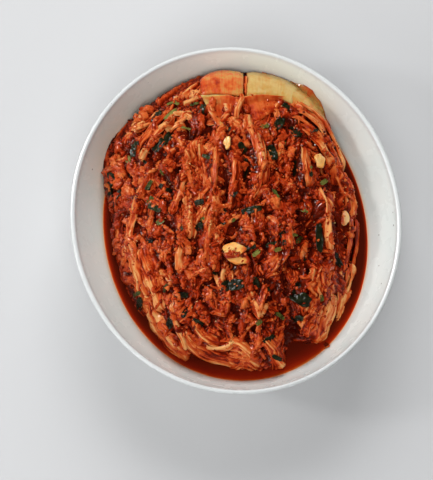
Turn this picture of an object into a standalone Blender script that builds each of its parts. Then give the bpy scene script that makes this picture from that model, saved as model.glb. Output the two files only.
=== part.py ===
"""Half a head of kimchi, cut side down, in an oval stoneware bowl with its red broth.

The bowl stands on z = 0 with its middle at the origin. +Y points to the root end of
the cabbage, -Y to the leaf tips. Every height on the food follows from two surfaces:
the bowl's inside (cavity_height) and the rounded heap (heap_height).
"""
import math

import bmesh
import bpy
from mathutils import Matrix, Vector

OBJECT_NAME = "kimchi_bowl"

# Bowl, metres
BOWL_HEIGHT = 0.068
RIM_RADIUS = 0.1319          # middle of the rounded lip
LIP_RADIUS = 0.0019
FLOOR_TOP = 0.009
FLAT_RADIUS = 0.050          # level part of the inside floor
WALL_CURVE = 3.9             # how late the wall turns up
WALL = 0.0042
FOOT_RADIUS = 0.066
FOOT_WIDTH = 0.007
FOOT_HEIGHT = 0.0035
FOOT_FLARE = 0.0015          # the ring is this much wider where it joins the wall
FOOT_DRAFT = 0.001           # and its inner side leans this much
WALL_TO_FOOT = 0.004         # the outside curve stops this far out from the ring
WALL_TO_LIP = 0.004          # and this far below the lip
BOWL_STEPS = 56
WALL_POINTS = 7
WALL_SPACING = 0.75          # under 1 puts more of the points up the steep part
SLOPE_STEP = 0.0005

# The bowl is a little oval: out of round most at the broth, less at the rim
OVAL_WELL = 0.083
OVAL_RIM = 0.043
WELL_RADIUS = 0.114
OVAL_TURN = math.radians(101)
WELL_SHIFT = -0.002          # the well sits this far off the rim's middle, along Y
OVAL_ROUNDS = 12             # rounds of undoing the oval, far more than it takes to settle

# Broth
BROTH_TOP = 0.033
COLUMN_GAP = 0.0007          # broth to heap
HEAP_GAP = 0.0006            # the heap clears the bowl's flat facets

# Heap of cabbage, radish and paste
HEAP_TOP = 0.078
HEAP_EDGE = 0.029            # the free edge dips under the broth
EDGE_COVER = 0.0016          # thickness left where the heap leans on the wall
LEAN_HEIGHT = 0.014
LEAN_TURN = math.radians(100)
LEAN_SPREAD = 0.8
DOME_INNER = 2.6
DOME_OUTER = 0.62
FOLD_DEPTH = 0.0017
FOLD_COUNT = 8
FOLD_SWAY = 1.2
FOLD_SWAY_RATE = 3.0
FOLD_FADE = 6                # how close to the outline the folds keep their depth
HEAP_MERIDIANS = 72
HEAP_PARALLELS = 24
OUTLINE_SIDES = 2 * HEAP_PARALLELS
LEVEL = 0.001                # points of the unit globe this close to level are its rim

# Outline of the heap: direction in degrees and distance from the middle
HEAP_OUTLINE = (
    (-180, 0.0985), (-168, 0.0995), (-155, 0.100), (-143, 0.103), (-129, 0.1055),
    (-117, 0.114), (-104, 0.113), (-92, 0.1125), (-80, 0.120), (-72, 0.1185),
    (-66, 0.106), (-58, 0.1135), (-46, 0.1085), (-37, 0.1035), (-24, 0.0985),
    (-6, 0.098), (18, 0.098), (36, 0.103), (50, 0.115), (60, 0.1215), (72, 0.125),
    (88, 0.1265), (103, 0.1265), (115, 0.1235), (128, 0.121), (140, 0.1205),
    (150, 0.119), (160, 0.113), (170, 0.1045),
)

# Leaves and stems that lie on the heap. A path is in heap units: (0, 0) is the middle
# and the outline is at distance 1. Then width, thickness and how far the middle arches
# up over the sides (negative where the leaf is cupped).
REST_GAP = 0.0012
LEAF_STEP = 0.012
LEAF_COLUMN = 0.007
LEAF_END = 0.62              # width of a leaf's ends against its middle
LOOK_ALONG = 0.02            # share of a path used to find its direction
NORMAL_STEP = 0.002
STEM_THICK = 0.0035          # what is thicker than this is too stiff to follow the heap
STEM_SPREAD = 0.006
STEM_SAMPLES = 8
LEAVES = (
    ("left_long_leaf", ((-.56, .32), (-.70, .12), (-.81, -.12), (-.78, -.34)), .0110, .0026, .0015),
    ("left_fan_leaf", ((-.74, -.40), (-.69, -.51), (-.62, -.60)), .0160, .0022, .0020),
    ("upper_left_leaf", ((-.40, .70), (-.51, .58), (-.60, .44)), .0130, .0030, .0020),
    ("left_rib", ((-.28, .48), (-.33, .26), (-.45, .06)), .0090, .0034, .0015),
    ("left_rib_tip", ((-.41, -.22), (-.42, -.34), (-.41, -.46)), .0080, .0032, .0010),
    ("middle_rib", ((-.11, .46), (-.13, .26), (-.19, -.04), (-.21, -.38)), .0080, .0034, .0015),
    ("centre_rib", ((.00, .32), (-.01, .14), (-.05, .00)), .0090, .0030, .0015),
    ("right_upper_rib", ((.09, .48), (.15, .36), (.19, .20)), .0100, .0032, .0015),
    ("right_rib", ((.48, .50), (.54, .36), (.58, .24)), .0080, .0030, .0010),
    ("far_right_rib", ((.65, .15), (.69, -.06), (.72, -.27), (.72, -.44)), .0080, .0030, .0012),
    ("centre_right_strip", ((.41, -.10), (.42, -.22), (.30, -.38)), .0070, .0026, .0010),
    ("outer_page_a", ((.43, .74), (.58, .655), (.74, .53), (.845, .39)), .0060, .0022, .0010),
    ("outer_page_b", ((.42, .66), (.58, .555), (.77, .38), (.88, .20), (.92, .06)), .0060, .0022, .0010),
    ("outer_low_page", ((.94, -.05), (.92, -.24), (.86, -.41)), .0080, .0022, .0010),
    ("right_edge_strip", ((.84, -.41), (.79, -.52), (.725, -.615)), .0070, .0026, .0010),
    ("ruffled_leaf", ((.64, -.50), (.58, -.63), (.50, -.78)), .0180, .0020, .0020),
    ("bottom_bundle", ((-.27, -.79), (-.19, -.86), (-.05, -.90), (.13, -.91)), .0080, .0026, .0015),
    ("bottom_bundle_edge", ((-.32, -.88), (-.22, -.94), (-.07, -.975)), .0050, .0022, .0006),
    ("bottom_tip", ((.20, -.80), (.26, -.88), (.30, -.93)), .0090, .0022, .0010),
    ("bottom_left_leaf", ((-.58, -.70), (-.49, -.79), (-.38, -.85)), .0100, .0022, .0010),
    ("bottom_left_rib", ((-.42, -.62), (-.39, -.71), (-.36, -.79)), .0070, .0034, .0010),
    ("left_small_leaf", ((-.90, .04), (-.91, -.08), (-.91, -.19)), .0080, .0020, .0010),
    ("cupped_leaf", ((.07, .74), (.065, .64), (.05, .54)), .0400, .0026, -.0035),
    ("stem_slab_left", ((-.10, .79), (-.11, .85), (-.12, .905)), .0340, .0040, .0020),
    ("stem_slab_right", ((.12, .875), (.28, .86), (.41, .80)), .0210, .0040, .0020),
    ("stem_slab_corner", ((.50, .84), (.595, .77), (.68, .685)), .0100, .0036, .0020),
)

# Garlic slices: place in heap units, length, width, turn in degrees
GARLIC_THICK = 0.0024
GARLIC_SIDES = 12
GARLIC_TOP = 0.84            # width of the upper face against the lower
GARLIC_TAPER = 0.35          # how much narrower the far end is
GARLIC = (
    ("garlic_1", (-.02, -.26), .0200, .0140, 10),
    ("garlic_2", (.03, -.39), .0180, .0110, -15),
    ("garlic_3", (-.05, .42), .0120, .0065, 85),
    ("garlic_4", (.63, .42), .0130, .0100, 80),
    ("garlic_5", (.845, -.01), .0130, .0095, 70),
)

# Mustard-green and scallion pieces: place in heap units, length, width, turn in degrees
GREEN_THICK = 0.0020
GREEN_SIDES = 8
GREEN_TOP = 0.92
GREEN_BEND = 1.2             # how far the ends bend down, in thicknesses
GREEN_RISE = 0.1
GREENS = (
    ("green_1", (-.47, .475), .0180, .0060, 50),
    ("green_2", (-.86, .27), .0140, .0090, 80),
    ("green_3", (.28, .60), .0130, .0080, 70),
    ("green_4", (.39, .56), .0120, .0080, -50),
    ("green_5", (.63, -.19), .0200, .0055, 90),
    ("green_6", (-.02, -.50), .0160, .0080, 5),
    ("green_7", (.42, -.57), .0130, .0100, -30),
    ("green_8", (.235, .39), .0140, .0060, -70),
)

# Colours, linear
STONEWARE = (0.62, 0.60, 0.56)
BROTH_RED = (0.19, 0.012, 0.004)
HEAP_RED = (0.42, 0.045, 0.012)
LEAF_ORANGE = (0.66, 0.14, 0.030)
STEM_CREAM = (0.72, 0.46, 0.15)
GARLIC_CREAM = (0.80, 0.50, 0.18)
GREEN_DARK = (0.035, 0.045, 0.018)


def clear_scene():
    """Take out whatever the file opened with."""
    for thing in list(bpy.data.objects):
        bpy.data.objects.remove(thing, do_unlink=True)


def new_collection(name):
    """A collection linked to the scene."""
    collection = bpy.data.collections.new(name)
    bpy.context.scene.collection.children.link(collection)
    return collection


def finish_material(name, colour, roughness):
    """A plain Principled material."""
    material = bpy.data.materials.new(name)
    material.use_nodes = True
    shader = material.node_tree.nodes["Principled BSDF"]
    shader.inputs["Base Color"].default_value = (*colour, 1.0)
    shader.inputs["Roughness"].default_value = roughness
    shader.inputs["Metallic"].default_value = 0.0
    return material


def add_object(name, form, collection, material):
    """Turn a bmesh into a smooth-shaded object with one material."""
    mesh = bpy.data.meshes.new(name)
    form.to_mesh(mesh)
    form.free()
    mesh.materials.append(material)
    mesh.shade_smooth()
    thing = bpy.data.objects.new(name, mesh)
    collection.objects.link(thing)
    return thing


def blend(low, high, amount):
    """Straight mix of two numbers."""
    return low + (high - low) * amount


def oval_amount(radius):
    """How far out of round the bowl is at this radius."""
    inner = OVAL_WELL * min(1.0, radius / WELL_RADIUS)
    past = max(0.0, (radius - WELL_RADIUS) / (RIM_RADIUS - WELL_RADIUS))
    return inner - (OVAL_WELL - OVAL_RIM) * min(1.0, past)


def well_shift(radius):
    """The well's offset along Y, gone by the rim."""
    past = max(0.0, (radius - WELL_RADIUS) / (RIM_RADIUS - WELL_RADIUS))
    return WELL_SHIFT * (1.0 - min(1.0, past))


def make_oval(form):
    """Squeeze a turned form from round to the bowl's oval."""
    for vert in form.verts:
        radius = math.hypot(vert.co.x, vert.co.y)
        angle = math.atan2(vert.co.y, vert.co.x)
        wide = radius * (1.0 + oval_amount(radius) * math.cos(2.0 * (angle - OVAL_TURN)))
        vert.co.x = wide * math.cos(angle)
        vert.co.y = wide * math.sin(angle) + well_shift(radius)


def wall_height(radius):
    """Height of the bowl's inside at a radius of the round profile."""
    climb = max(0.0, (radius - FLAT_RADIUS) / (RIM_RADIUS - LIP_RADIUS - FLAT_RADIUS))
    return FLOOR_TOP + (BOWL_HEIGHT - LIP_RADIUS - FLOOR_TOP) * climb ** WALL_CURVE


def cavity_height(x, y):
    """Height of the bowl's inside at a place in the oval bowl."""
    radius = math.hypot(x, y)
    for _ in range(OVAL_ROUNDS):
        moved = y - well_shift(radius)
        angle = math.atan2(moved, x)
        squeeze = 1.0 + oval_amount(radius) * math.cos(2.0 * (angle - OVAL_TURN))
        radius = math.hypot(x, moved) / squeeze
    return wall_height(radius)


def outline_radius(angle):
    """Smooth radius of the heap's outline in a direction, in radians."""
    degrees = (math.degrees(angle) + 180.0) % 360.0 - 180.0
    count = len(HEAP_OUTLINE)
    last = max(i for i in range(count) if HEAP_OUTLINE[i][0] <= degrees)

    def point(index):
        turns, place = divmod(index, count)
        direction, radius = HEAP_OUTLINE[place]
        return direction + 360.0 * turns, radius

    before, start, end, after = (point(last + step) for step in (-1, 0, 1, 2))
    span = end[0] - start[0]
    slope_in = (end[1] - before[1]) / (end[0] - before[0]) * span
    slope_out = (after[1] - start[1]) / (after[0] - start[0]) * span
    t = (degrees - start[0]) / span
    return (
        (2 * t ** 3 - 3 * t ** 2 + 1) * start[1]
        + (t ** 3 - 2 * t ** 2 + t) * slope_in
        + (3 * t ** 2 - 2 * t ** 3) * end[1]
        + (t ** 3 - t ** 2) * slope_out
    )


def heap_place(across, along):
    """A place in heap units as x and y in metres."""
    angle = math.atan2(along, across)
    radius = math.hypot(across, along) * outline_radius(angle)
    return radius * math.cos(angle), radius * math.sin(angle)


def heap_height(x, y):
    """Height of the rounded heap, or of the bowl's wall beyond its outline."""
    angle = math.atan2(y, x)
    reach = min(1.0, math.hypot(x, y) / outline_radius(angle))
    lean = LEAN_HEIGHT * max(0.0, math.cos(angle - LEAN_TURN)) ** LEAN_SPREAD
    edge = HEAP_EDGE + lean
    dome = edge + (HEAP_TOP - edge) * (1.0 - reach ** DOME_INNER) ** DOME_OUTER
    wall = cavity_height(x, y) + EDGE_COVER
    return max(dome, wall)


def fold_height(across, along):
    """Rise and fall of the leaf folds, which run from root to tips like meridians."""
    half_width = math.sqrt(max(1e-6, 1.0 - along * along))
    turn = math.acos(max(-1.0, min(1.0, across / half_width)))
    fade = (1.0 - min(1.0, math.hypot(across, along)) ** FOLD_FADE) * half_width
    sway = FOLD_SWAY * math.sin(FOLD_SWAY_RATE * along)
    return FOLD_DEPTH * fade * math.cos(2.0 * FOLD_COUNT * turn + sway)


def turned(name, profile, steps):
    """Spin a profile of (radius, height) pairs about Z with a Screw modifier."""
    mesh = bpy.data.meshes.new(name)
    points = [(radius, 0.0, height) for radius, height in profile]
    mesh.from_pydata(points, [(i, i + 1) for i in range(len(points) - 1)], [])
    guide = bpy.data.objects.new(name, mesh)
    bpy.context.scene.collection.objects.link(guide)
    screw = guide.modifiers.new("turn", "SCREW")
    screw.axis = "Z"
    screw.steps = steps
    screw.render_steps = steps
    screw.use_merge_vertices = True
    screw.merge_threshold = 0.00001
    evaluated = guide.evaluated_get(bpy.context.evaluated_depsgraph_get())
    form = bmesh.new()
    form.from_mesh(evaluated.to_mesh())
    evaluated.to_mesh_clear()
    bpy.data.objects.remove(guide, do_unlink=True)
    bmesh.ops.remove_doubles(form, verts=form.verts[:], dist=0.00001)
    return form


def wall_profile(clearance):
    """Points up the bowl's inside, moved off the wall by the clearance."""
    last = RIM_RADIUS - LIP_RADIUS
    points = []
    for i in range(WALL_POINTS + 1):
        radius = blend(FLAT_RADIUS, last, (i / WALL_POINTS) ** WALL_SPACING)
        climb = wall_height(radius + SLOPE_STEP) - wall_height(radius - SLOPE_STEP)
        slope = climb / (2 * SLOPE_STEP)
        length = math.hypot(1.0, slope)
        points.append((
            radius - clearance * slope / length,
            wall_height(radius) + clearance / length,
        ))
    return points


def make_bowl(collection, material):
    """The bowl: inside curve, rounded lip, outside curve and a turned foot ring."""
    lip_height = BOWL_HEIGHT - LIP_RADIUS
    lip = [
        (RIM_RADIUS + LIP_RADIUS * math.cos(turn), lip_height + LIP_RADIUS * math.sin(turn))
        for turn in (math.radians(step) for step in (135, 90, 45, 0))
    ]
    outside = [
        point for point in reversed(wall_profile(-WALL))
        if point[0] > FOOT_RADIUS + WALL_TO_FOOT and point[1] < lip_height - WALL_TO_LIP
    ]
    foot = [
        (FOOT_RADIUS + FOOT_FLARE, FOOT_HEIGHT + FOOT_FLARE),
        (FOOT_RADIUS, 0.0),
        (FOOT_RADIUS - FOOT_WIDTH, 0.0),
        (FOOT_RADIUS - FOOT_WIDTH - FOOT_DRAFT, FOOT_HEIGHT),
        (0.0, FOOT_HEIGHT),
    ]
    profile = [(0.0, FLOOR_TOP)] + wall_profile(0.0) + lip + outside + foot
    form = turned("bowl_profile", profile, BOWL_STEPS)
    make_oval(form)
    return add_object("bowl", form, collection, material)


def make_heap_column(collection, material):
    """A tall column of the heap's outline, which cuts the heap's place out of the broth."""
    form = bmesh.new()
    bmesh.ops.create_cone(
        form, cap_ends=True, segments=OUTLINE_SIDES, radius1=1.0, radius2=1.0, depth=2 * HEAP_TOP)
    for vert in form.verts:
        angle = math.atan2(vert.co.y, vert.co.x)
        radius = outline_radius(angle) + COLUMN_GAP
        vert.co.x = radius * math.cos(angle)
        vert.co.y = radius * math.sin(angle)
    column = add_object("heap_column", form, collection, material)
    column.hide_render = True
    column.display_type = "WIRE"
    return column


def make_broth(collection, cutters, material):
    """The broth fills the well up to its level, round the heap."""
    wall = wall_profile(HEAP_GAP)
    above = next(i for i, point in enumerate(wall) if point[1] > BROTH_TOP)
    low, high = wall[above - 1], wall[above]
    edge = blend(low[0], high[0], (BROTH_TOP - low[1]) / (high[1] - low[1]))
    profile = [(0.0, BROTH_TOP), (edge, BROTH_TOP)] + wall[:above][::-1] + [(0.0, wall[0][1])]
    form = turned("broth_profile", profile, BOWL_STEPS)
    make_oval(form)
    broth = add_object("broth", form, collection, material)
    cut = broth.modifiers.new("heap_place", "BOOLEAN")
    cut.operation = "DIFFERENCE"
    cut.solver = "EXACT"
    cut.object = make_heap_column(cutters, material)
    return broth


def make_heap(collection, material):
    """A globe whose poles are root and tips: its top becomes the dome, its underside the bowl."""
    form = bmesh.new()
    bmesh.ops.create_uvsphere(
        form, u_segments=HEAP_MERIDIANS, v_segments=HEAP_PARALLELS, radius=1.0,
        matrix=Matrix.Rotation(math.radians(-90), 4, "X"))
    for vert in form.verts:
        across, along, up = vert.co
        x, y = heap_place(across, along)
        if up > -LEVEL:
            z = heap_height(x, y) + fold_height(across, along)
        else:
            outwards = 1.0 + HEAP_GAP / math.hypot(x, y) if (x or y) else 1.0
            z = cavity_height(x * outwards, y * outwards) + HEAP_GAP
        vert.co = (x, y, z)
    return add_object("kimchi_heap", form, collection, material)


def rest_height(x, y, spread):
    """Height of the heap as a stiff piece meets it, evened out over the spread."""
    if not spread:
        return heap_height(x, y)
    ring = [math.tau * i / STEM_SAMPLES for i in range(STEM_SAMPLES)]
    heights = [heap_height(x + spread * math.cos(a), y + spread * math.sin(a)) for a in ring]
    return max(heap_height(x, y), sum(heights) / len(heights))


def surface_point(x, y, lift, spread=0.0):
    """A point above the heap, measured square to its smooth surface."""
    step = NORMAL_STEP
    rise_x = rest_height(x + step, y, spread) - rest_height(x - step, y, spread)
    rise_y = rest_height(x, y + step, spread) - rest_height(x, y - step, spread)
    normal = Vector((-rise_x, -rise_y, 2 * step)).normalized()
    return Vector((x, y, rest_height(x, y, spread))) + normal * lift, normal


def path_point(path, amount):
    """Smooth curve through the points of a path."""
    count = len(path) - 1
    place = min(amount * count, count - 1e-6)
    index = int(place)
    t = place - index
    before = path[max(index - 1, 0)]
    start, end = path[index], path[index + 1]
    after = path[min(index + 2, count)]
    return [
        0.5 * (2 * b + (c - a) * t + (2 * a - 5 * b + 4 * c - d) * t * t
               + (3 * b - a - 3 * c + d) * t ** 3)
        for a, b, c, d in zip(before, start, end, after)
    ]


def make_leaf(name, path, width, thickness, arch, collection, material):
    """A leaf or stem strip laid on the heap along its path, thickened with Solidify."""
    places = [heap_place(*point) for point in path]
    length = sum(math.dist(a, b) for a, b in zip(places, places[1:]))
    stations = max(3, round(length / LEAF_STEP))
    columns = max(2, round(width / LEAF_COLUMN))
    spread = STEM_SPREAD if thickness > STEM_THICK else 0.0
    form = bmesh.new()
    bmesh.ops.create_grid(form, x_segments=columns, y_segments=stations, size=1.0)
    for vert in form.verts:
        side, along = vert.co.x, 0.5 * (vert.co.y + 1.0)
        x, y = path_point(places, along)
        ahead = path_point(places, min(1.0, along + LOOK_ALONG))
        behind = path_point(places, max(0.0, along - LOOK_ALONG))
        run = Vector((ahead[0] - behind[0], ahead[1] - behind[1])).normalized()
        middle = math.sqrt(math.sin(math.pi * min(1.0, max(0.0, along))))
        taper = blend(LEAF_END, 1.0, middle)
        reach = 0.5 * width * taper * side
        lift = REST_GAP + FOLD_DEPTH + abs(min(0.0, arch)) * side * side
        lift += max(0.0, arch) * (1.0 - side * side)
        vert.co = surface_point(x + run.y * reach, y - run.x * reach, lift, spread)[0]
    bmesh.ops.recalc_face_normals(form, faces=form.faces[:])
    if sum(face.normal.z for face in form.faces) < 0.0:
        bmesh.ops.reverse_faces(form, faces=form.faces[:])
    leaf = add_object(name, form, collection, material)
    solid = leaf.modifiers.new("thickness", "SOLIDIFY")
    solid.thickness = thickness
    solid.offset = 1.0
    return leaf


def lay_flat(form, place, size, turn, lift):
    """Scale a unit form to its size and lay it on the heap at a place in heap units."""
    x, y = heap_place(*place)
    centre, normal = surface_point(x, y, lift)
    tilt = Vector((0, 0, 1)).rotation_difference(normal).to_matrix().to_4x4()
    spin = Matrix.Rotation(math.radians(turn), 4, "Z")
    stretch = Matrix.Diagonal((*size, 1.0))
    bmesh.ops.transform(
        form, matrix=Matrix.Translation(centre) @ tilt @ spin @ stretch, verts=form.verts[:])


def make_garlic(name, place, length, width, turn, collection, material):
    """A slice of a clove: an oval disc with one flatter end and a soft edge."""
    form = bmesh.new()
    bmesh.ops.create_cone(
        form, cap_ends=True, segments=GARLIC_SIDES,
        radius1=0.5, radius2=0.5 * GARLIC_TOP, depth=1.0)
    for vert in form.verts:
        vert.co.y *= 1.0 - GARLIC_TAPER * max(0.0, vert.co.x)
    lift = REST_GAP + FOLD_DEPTH + GARLIC_THICK
    lay_flat(form, place, (length, width, GARLIC_THICK), turn, lift)
    return add_object(name, form, collection, material)


def make_green(name, place, length, width, turn, collection, material):
    """A cut piece of mustard green: a bent strip with rounded ends."""
    form = bmesh.new()
    bmesh.ops.create_cone(
        form, cap_ends=True, segments=GREEN_SIDES,
        radius1=0.5, radius2=0.5 * GREEN_TOP, depth=1.0)
    for vert in form.verts:
        vert.co.z -= GREEN_BEND * (vert.co.x ** 2 - GREEN_RISE)
    lift = REST_GAP + FOLD_DEPTH + GREEN_THICK
    lay_flat(form, place, (length, width, GREEN_THICK), turn, lift)
    return add_object(name, form, collection, material)


def main():
    clear_scene()
    parts = new_collection(OBJECT_NAME)
    cutters = new_collection("cutters")
    stoneware = finish_material("speckled_stoneware", STONEWARE, 0.35)
    broth_red = finish_material("red_broth", BROTH_RED, 0.08)
    heap_red = finish_material("chili_paste", HEAP_RED, 0.30)
    leaf_orange = finish_material("cabbage_leaf", LEAF_ORANGE, 0.30)
    stem_cream = finish_material("cabbage_stem", STEM_CREAM, 0.30)
    garlic_cream = finish_material("garlic", GARLIC_CREAM, 0.35)
    green_dark = finish_material("mustard_green", GREEN_DARK, 0.35)

    make_bowl(parts, stoneware)
    make_broth(parts, cutters, broth_red)
    make_heap(parts, heap_red)
    for name, path, width, thickness, arch in LEAVES:
        finish = stem_cream if name.startswith("stem") else leaf_orange
        make_leaf(name, path, width, thickness, arch, parts, finish)
    for name, place, length, width, turn in GARLIC:
        make_garlic(name, place, length, width, turn, parts, garlic_cream)
    for name, place, length, width, turn in GREENS:
        make_green(name, place, length, width, turn, parts, green_dark)


main()
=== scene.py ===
"""Looks of the kimchi bowl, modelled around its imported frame.

Half a head of napa cabbage kimchi lies cut side down in red broth, in an oval stoneware
bowl. Each operator makes one piece or one group of like pieces, and main() calls them
in order. Lengths are metres. A place on the food is given in heap units: (0, 0) is the
middle, the outline is at distance 1, +Y points to the root end and -Y to the leaf tips.
"""
import math

import bmesh
import bpy
import numpy as np
from bpy.props import FloatProperty, FloatVectorProperty, IntProperty, PointerProperty
from mathutils import Matrix, Vector, noise
from mathutils.bvhtree import BVHTree


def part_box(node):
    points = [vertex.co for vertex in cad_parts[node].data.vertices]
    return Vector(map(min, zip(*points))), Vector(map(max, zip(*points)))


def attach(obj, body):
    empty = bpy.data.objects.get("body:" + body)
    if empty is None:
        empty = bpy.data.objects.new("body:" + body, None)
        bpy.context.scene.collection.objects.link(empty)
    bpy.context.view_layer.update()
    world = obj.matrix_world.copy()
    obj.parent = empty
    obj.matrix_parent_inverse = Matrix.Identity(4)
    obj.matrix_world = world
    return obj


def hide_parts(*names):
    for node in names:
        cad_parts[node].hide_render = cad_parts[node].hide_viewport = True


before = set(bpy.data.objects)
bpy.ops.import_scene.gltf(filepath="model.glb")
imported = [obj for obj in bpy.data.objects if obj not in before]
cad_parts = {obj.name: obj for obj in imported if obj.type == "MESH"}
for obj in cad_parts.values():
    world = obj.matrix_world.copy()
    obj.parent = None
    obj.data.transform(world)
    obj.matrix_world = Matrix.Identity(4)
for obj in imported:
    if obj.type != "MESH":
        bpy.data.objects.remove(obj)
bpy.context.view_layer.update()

bl_info = {
    "name": "Kimchi Bowl",
    "version": (1, 0, 0),
    "blender": (4, 5, 0),
    "location": "3D View > Sidebar > Kimchi",
    "description": "Models the glazed bowl, the broth and the kimchi around the packed frame",
    "category": "Object",
}

MM = 0.001
BODY = "root"

# Bowl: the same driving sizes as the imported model
BOWL_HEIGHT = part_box("bowl")[1].z
RIM_RADIUS = 131.9 * MM
LIP_RADIUS = 1.9 * MM
FLOOR_TOP = 9.0 * MM
FLAT_RADIUS = 50.0 * MM
WALL_CURVE = 3.9
WALL = 4.2 * MM
FOOT_RADIUS = 66.0 * MM
FOOT_WIDTH = 7.0 * MM
FOOT_HEIGHT = 3.5 * MM
OVAL_WELL = 0.083
OVAL_RIM = 0.043
WELL_RADIUS = 114.0 * MM
OVAL_TURN = math.radians(101)
WELL_SHIFT = -2.0 * MM
OVAL_ROUNDS = 12
BROTH_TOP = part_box("broth")[1].z
FILM_HEIGHT = 6.0 * MM

# Heap: the smooth shape under the folds
HEAP_TOP = 78.0 * MM
HEAP_EDGE = 29.0 * MM
EDGE_COVER = 1.6 * MM
LEAN_HEIGHT = 14.0 * MM
LEAN_TURN = math.radians(100)
LEAN_SPREAD = 0.8
DOME_INNER = 2.6
DOME_OUTER = 0.62
HEAP_OUTLINE = np.array((
    (-180, 98.5), (-168, 99.5), (-155, 100), (-143, 103), (-129, 105.5), (-117, 114), (-104, 113),
    (-92, 112.5), (-80, 120), (-72, 118.5), (-66, 106), (-58, 113.5), (-46, 108.5), (-37, 103.5),
    (-24, 98.5), (-6, 98), (18, 98), (36, 103), (50, 115), (60, 121.5), (72, 125), (88, 126.5),
    (103, 126.5), (115, 123.5), (128, 121), (140, 120.5), (150, 119), (160, 113), (170, 104.5),
), float)


# ---------------- sizes and colours

COLOUR = {"size": 3, "min": 0.0, "max": 1.0, "subtype": "COLOR"}


class KimchiBowlSettings(bpy.types.PropertyGroup):
    """The stoneware bowl and its glaze."""
    # Inside the bowl the glaze is tinted green-blue, a painted correction that cancels the pink
    # light the red food bounces onto the wall
    glaze: FloatVectorProperty(
        name="Glaze", description="Colour of the off-white glaze",
        default=(0.752, 0.828, 0.806), **COLOUR)
    speck: FloatVectorProperty(
        name="Specks", description="Colour of the iron specks in the glaze",
        default=(0.07, 0.06, 0.055), **COLOUR)
    speck_spacing: FloatProperty(
        name="Speck spacing", description="Size of the cells that each hold one speck",
        default=9.5 * MM, min=0.001, unit="LENGTH")
    wobble: FloatProperty(
        name="Wobble", description="How far the hand-turned wall strays from a true oval",
        default=0.35 * MM, min=0.0, unit="LENGTH")


class KimchiFoodSettings(bpy.types.PropertyGroup):
    """The food: its relief, its loose pieces and its colours."""
    fold_depth: FloatProperty(
        name="Fold depth", description="Height of the long folds between the leaves",
        default=3.6 * MM, min=0.0, unit="LENGTH")
    chunk_depth: FloatProperty(
        name="Chunk depth", description="How far the chunks stand out of the gaps between them",
        default=4.8 * MM, min=0.0, unit="LENGTH")
    lump_depth: FloatProperty(
        name="Lump depth", description="Height of the lumps of paste",
        default=1.5 * MM, min=0.0, unit="LENGTH")
    grain_depth: FloatProperty(
        name="Grain depth", description="Height of the fine grain of the paste",
        default=0.5 * MM, min=0.0, unit="LENGTH")
    radish_sticks: IntProperty(
        name="Radish sticks", description="How many sticks of radish lie on the heap",
        default=170, min=1)
    cabbage_chunks: IntProperty(
        name="Cabbage chunks", description="How many chopped chunks of cabbage and radish",
        default=200, min=1)
    paste_lumps: IntProperty(
        name="Paste lumps", description="How many loose lumps of paste lie on the heap",
        default=1500, min=1)
    paste_grains: IntProperty(
        name="Paste grains", description="How many loose grains of garlic and ginger",
        default=2200, min=1)
    chili_flakes: IntProperty(
        name="Chili flakes", description="How many chili flakes", default=1500, min=1)
    herb_scraps: IntProperty(
        name="Herb scraps", description="How many small scraps of green", default=36, min=1)
    leaf_shreds: IntProperty(
        name="Leaf shreds", description="How many torn shreds of leaf lie at random",
        default=150, min=1)
    # The paste colours run from the hollows to the crests: painted shade and painted light
    paste_deep: FloatVectorProperty(
        name="Paste, deep", description="Colour of the paste in the hollows",
        default=(0.060, 0.0040, 0.0010), **COLOUR)
    paste_red: FloatVectorProperty(
        name="Paste, red", description="Colour of the paste on the slopes",
        default=(0.275, 0.0155, 0.0018), **COLOUR)
    paste_orange: FloatVectorProperty(
        name="Paste, orange", description="Colour of the paste on the crests",
        default=(0.470, 0.055, 0.009), **COLOUR)
    leaf_orange: FloatVectorProperty(
        name="Leaf, orange", description="Colour of a leaf soaked with chili",
        default=(0.570, 0.122, 0.025), **COLOUR)
    leaf_pale: FloatVectorProperty(
        name="Leaf, pale", description="Colour of a bare leaf rib",
        default=(0.690, 0.315, 0.105), **COLOUR)
    stem: FloatVectorProperty(
        name="Stem", description="Colour of the thick stem ends",
        default=(0.530, 0.362, 0.128), **COLOUR)
    garlic: FloatVectorProperty(
        name="Garlic", description="Colour of a bare slice of garlic",
        default=(0.800, 0.520, 0.190), **COLOUR)
    green_dark: FloatVectorProperty(
        name="Mustard green", description="Colour of the dark leaf pieces",
        default=(0.008, 0.0085, 0.0035), **COLOUR)
    green_light: FloatVectorProperty(
        name="Scallion", description="Colour of the pale scallion slices",
        default=(0.190, 0.175, 0.036), **COLOUR)
    broth_deep: FloatVectorProperty(
        name="Broth, deep", description="Colour of the broth where it is deep",
        default=(0.055, 0.0042, 0.0008), **COLOUR)
    broth_thin: FloatVectorProperty(
        name="Broth, thin", description="Colour of the broth where it thins out",
        default=(0.750, 0.280, 0.080), **COLOUR)


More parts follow.
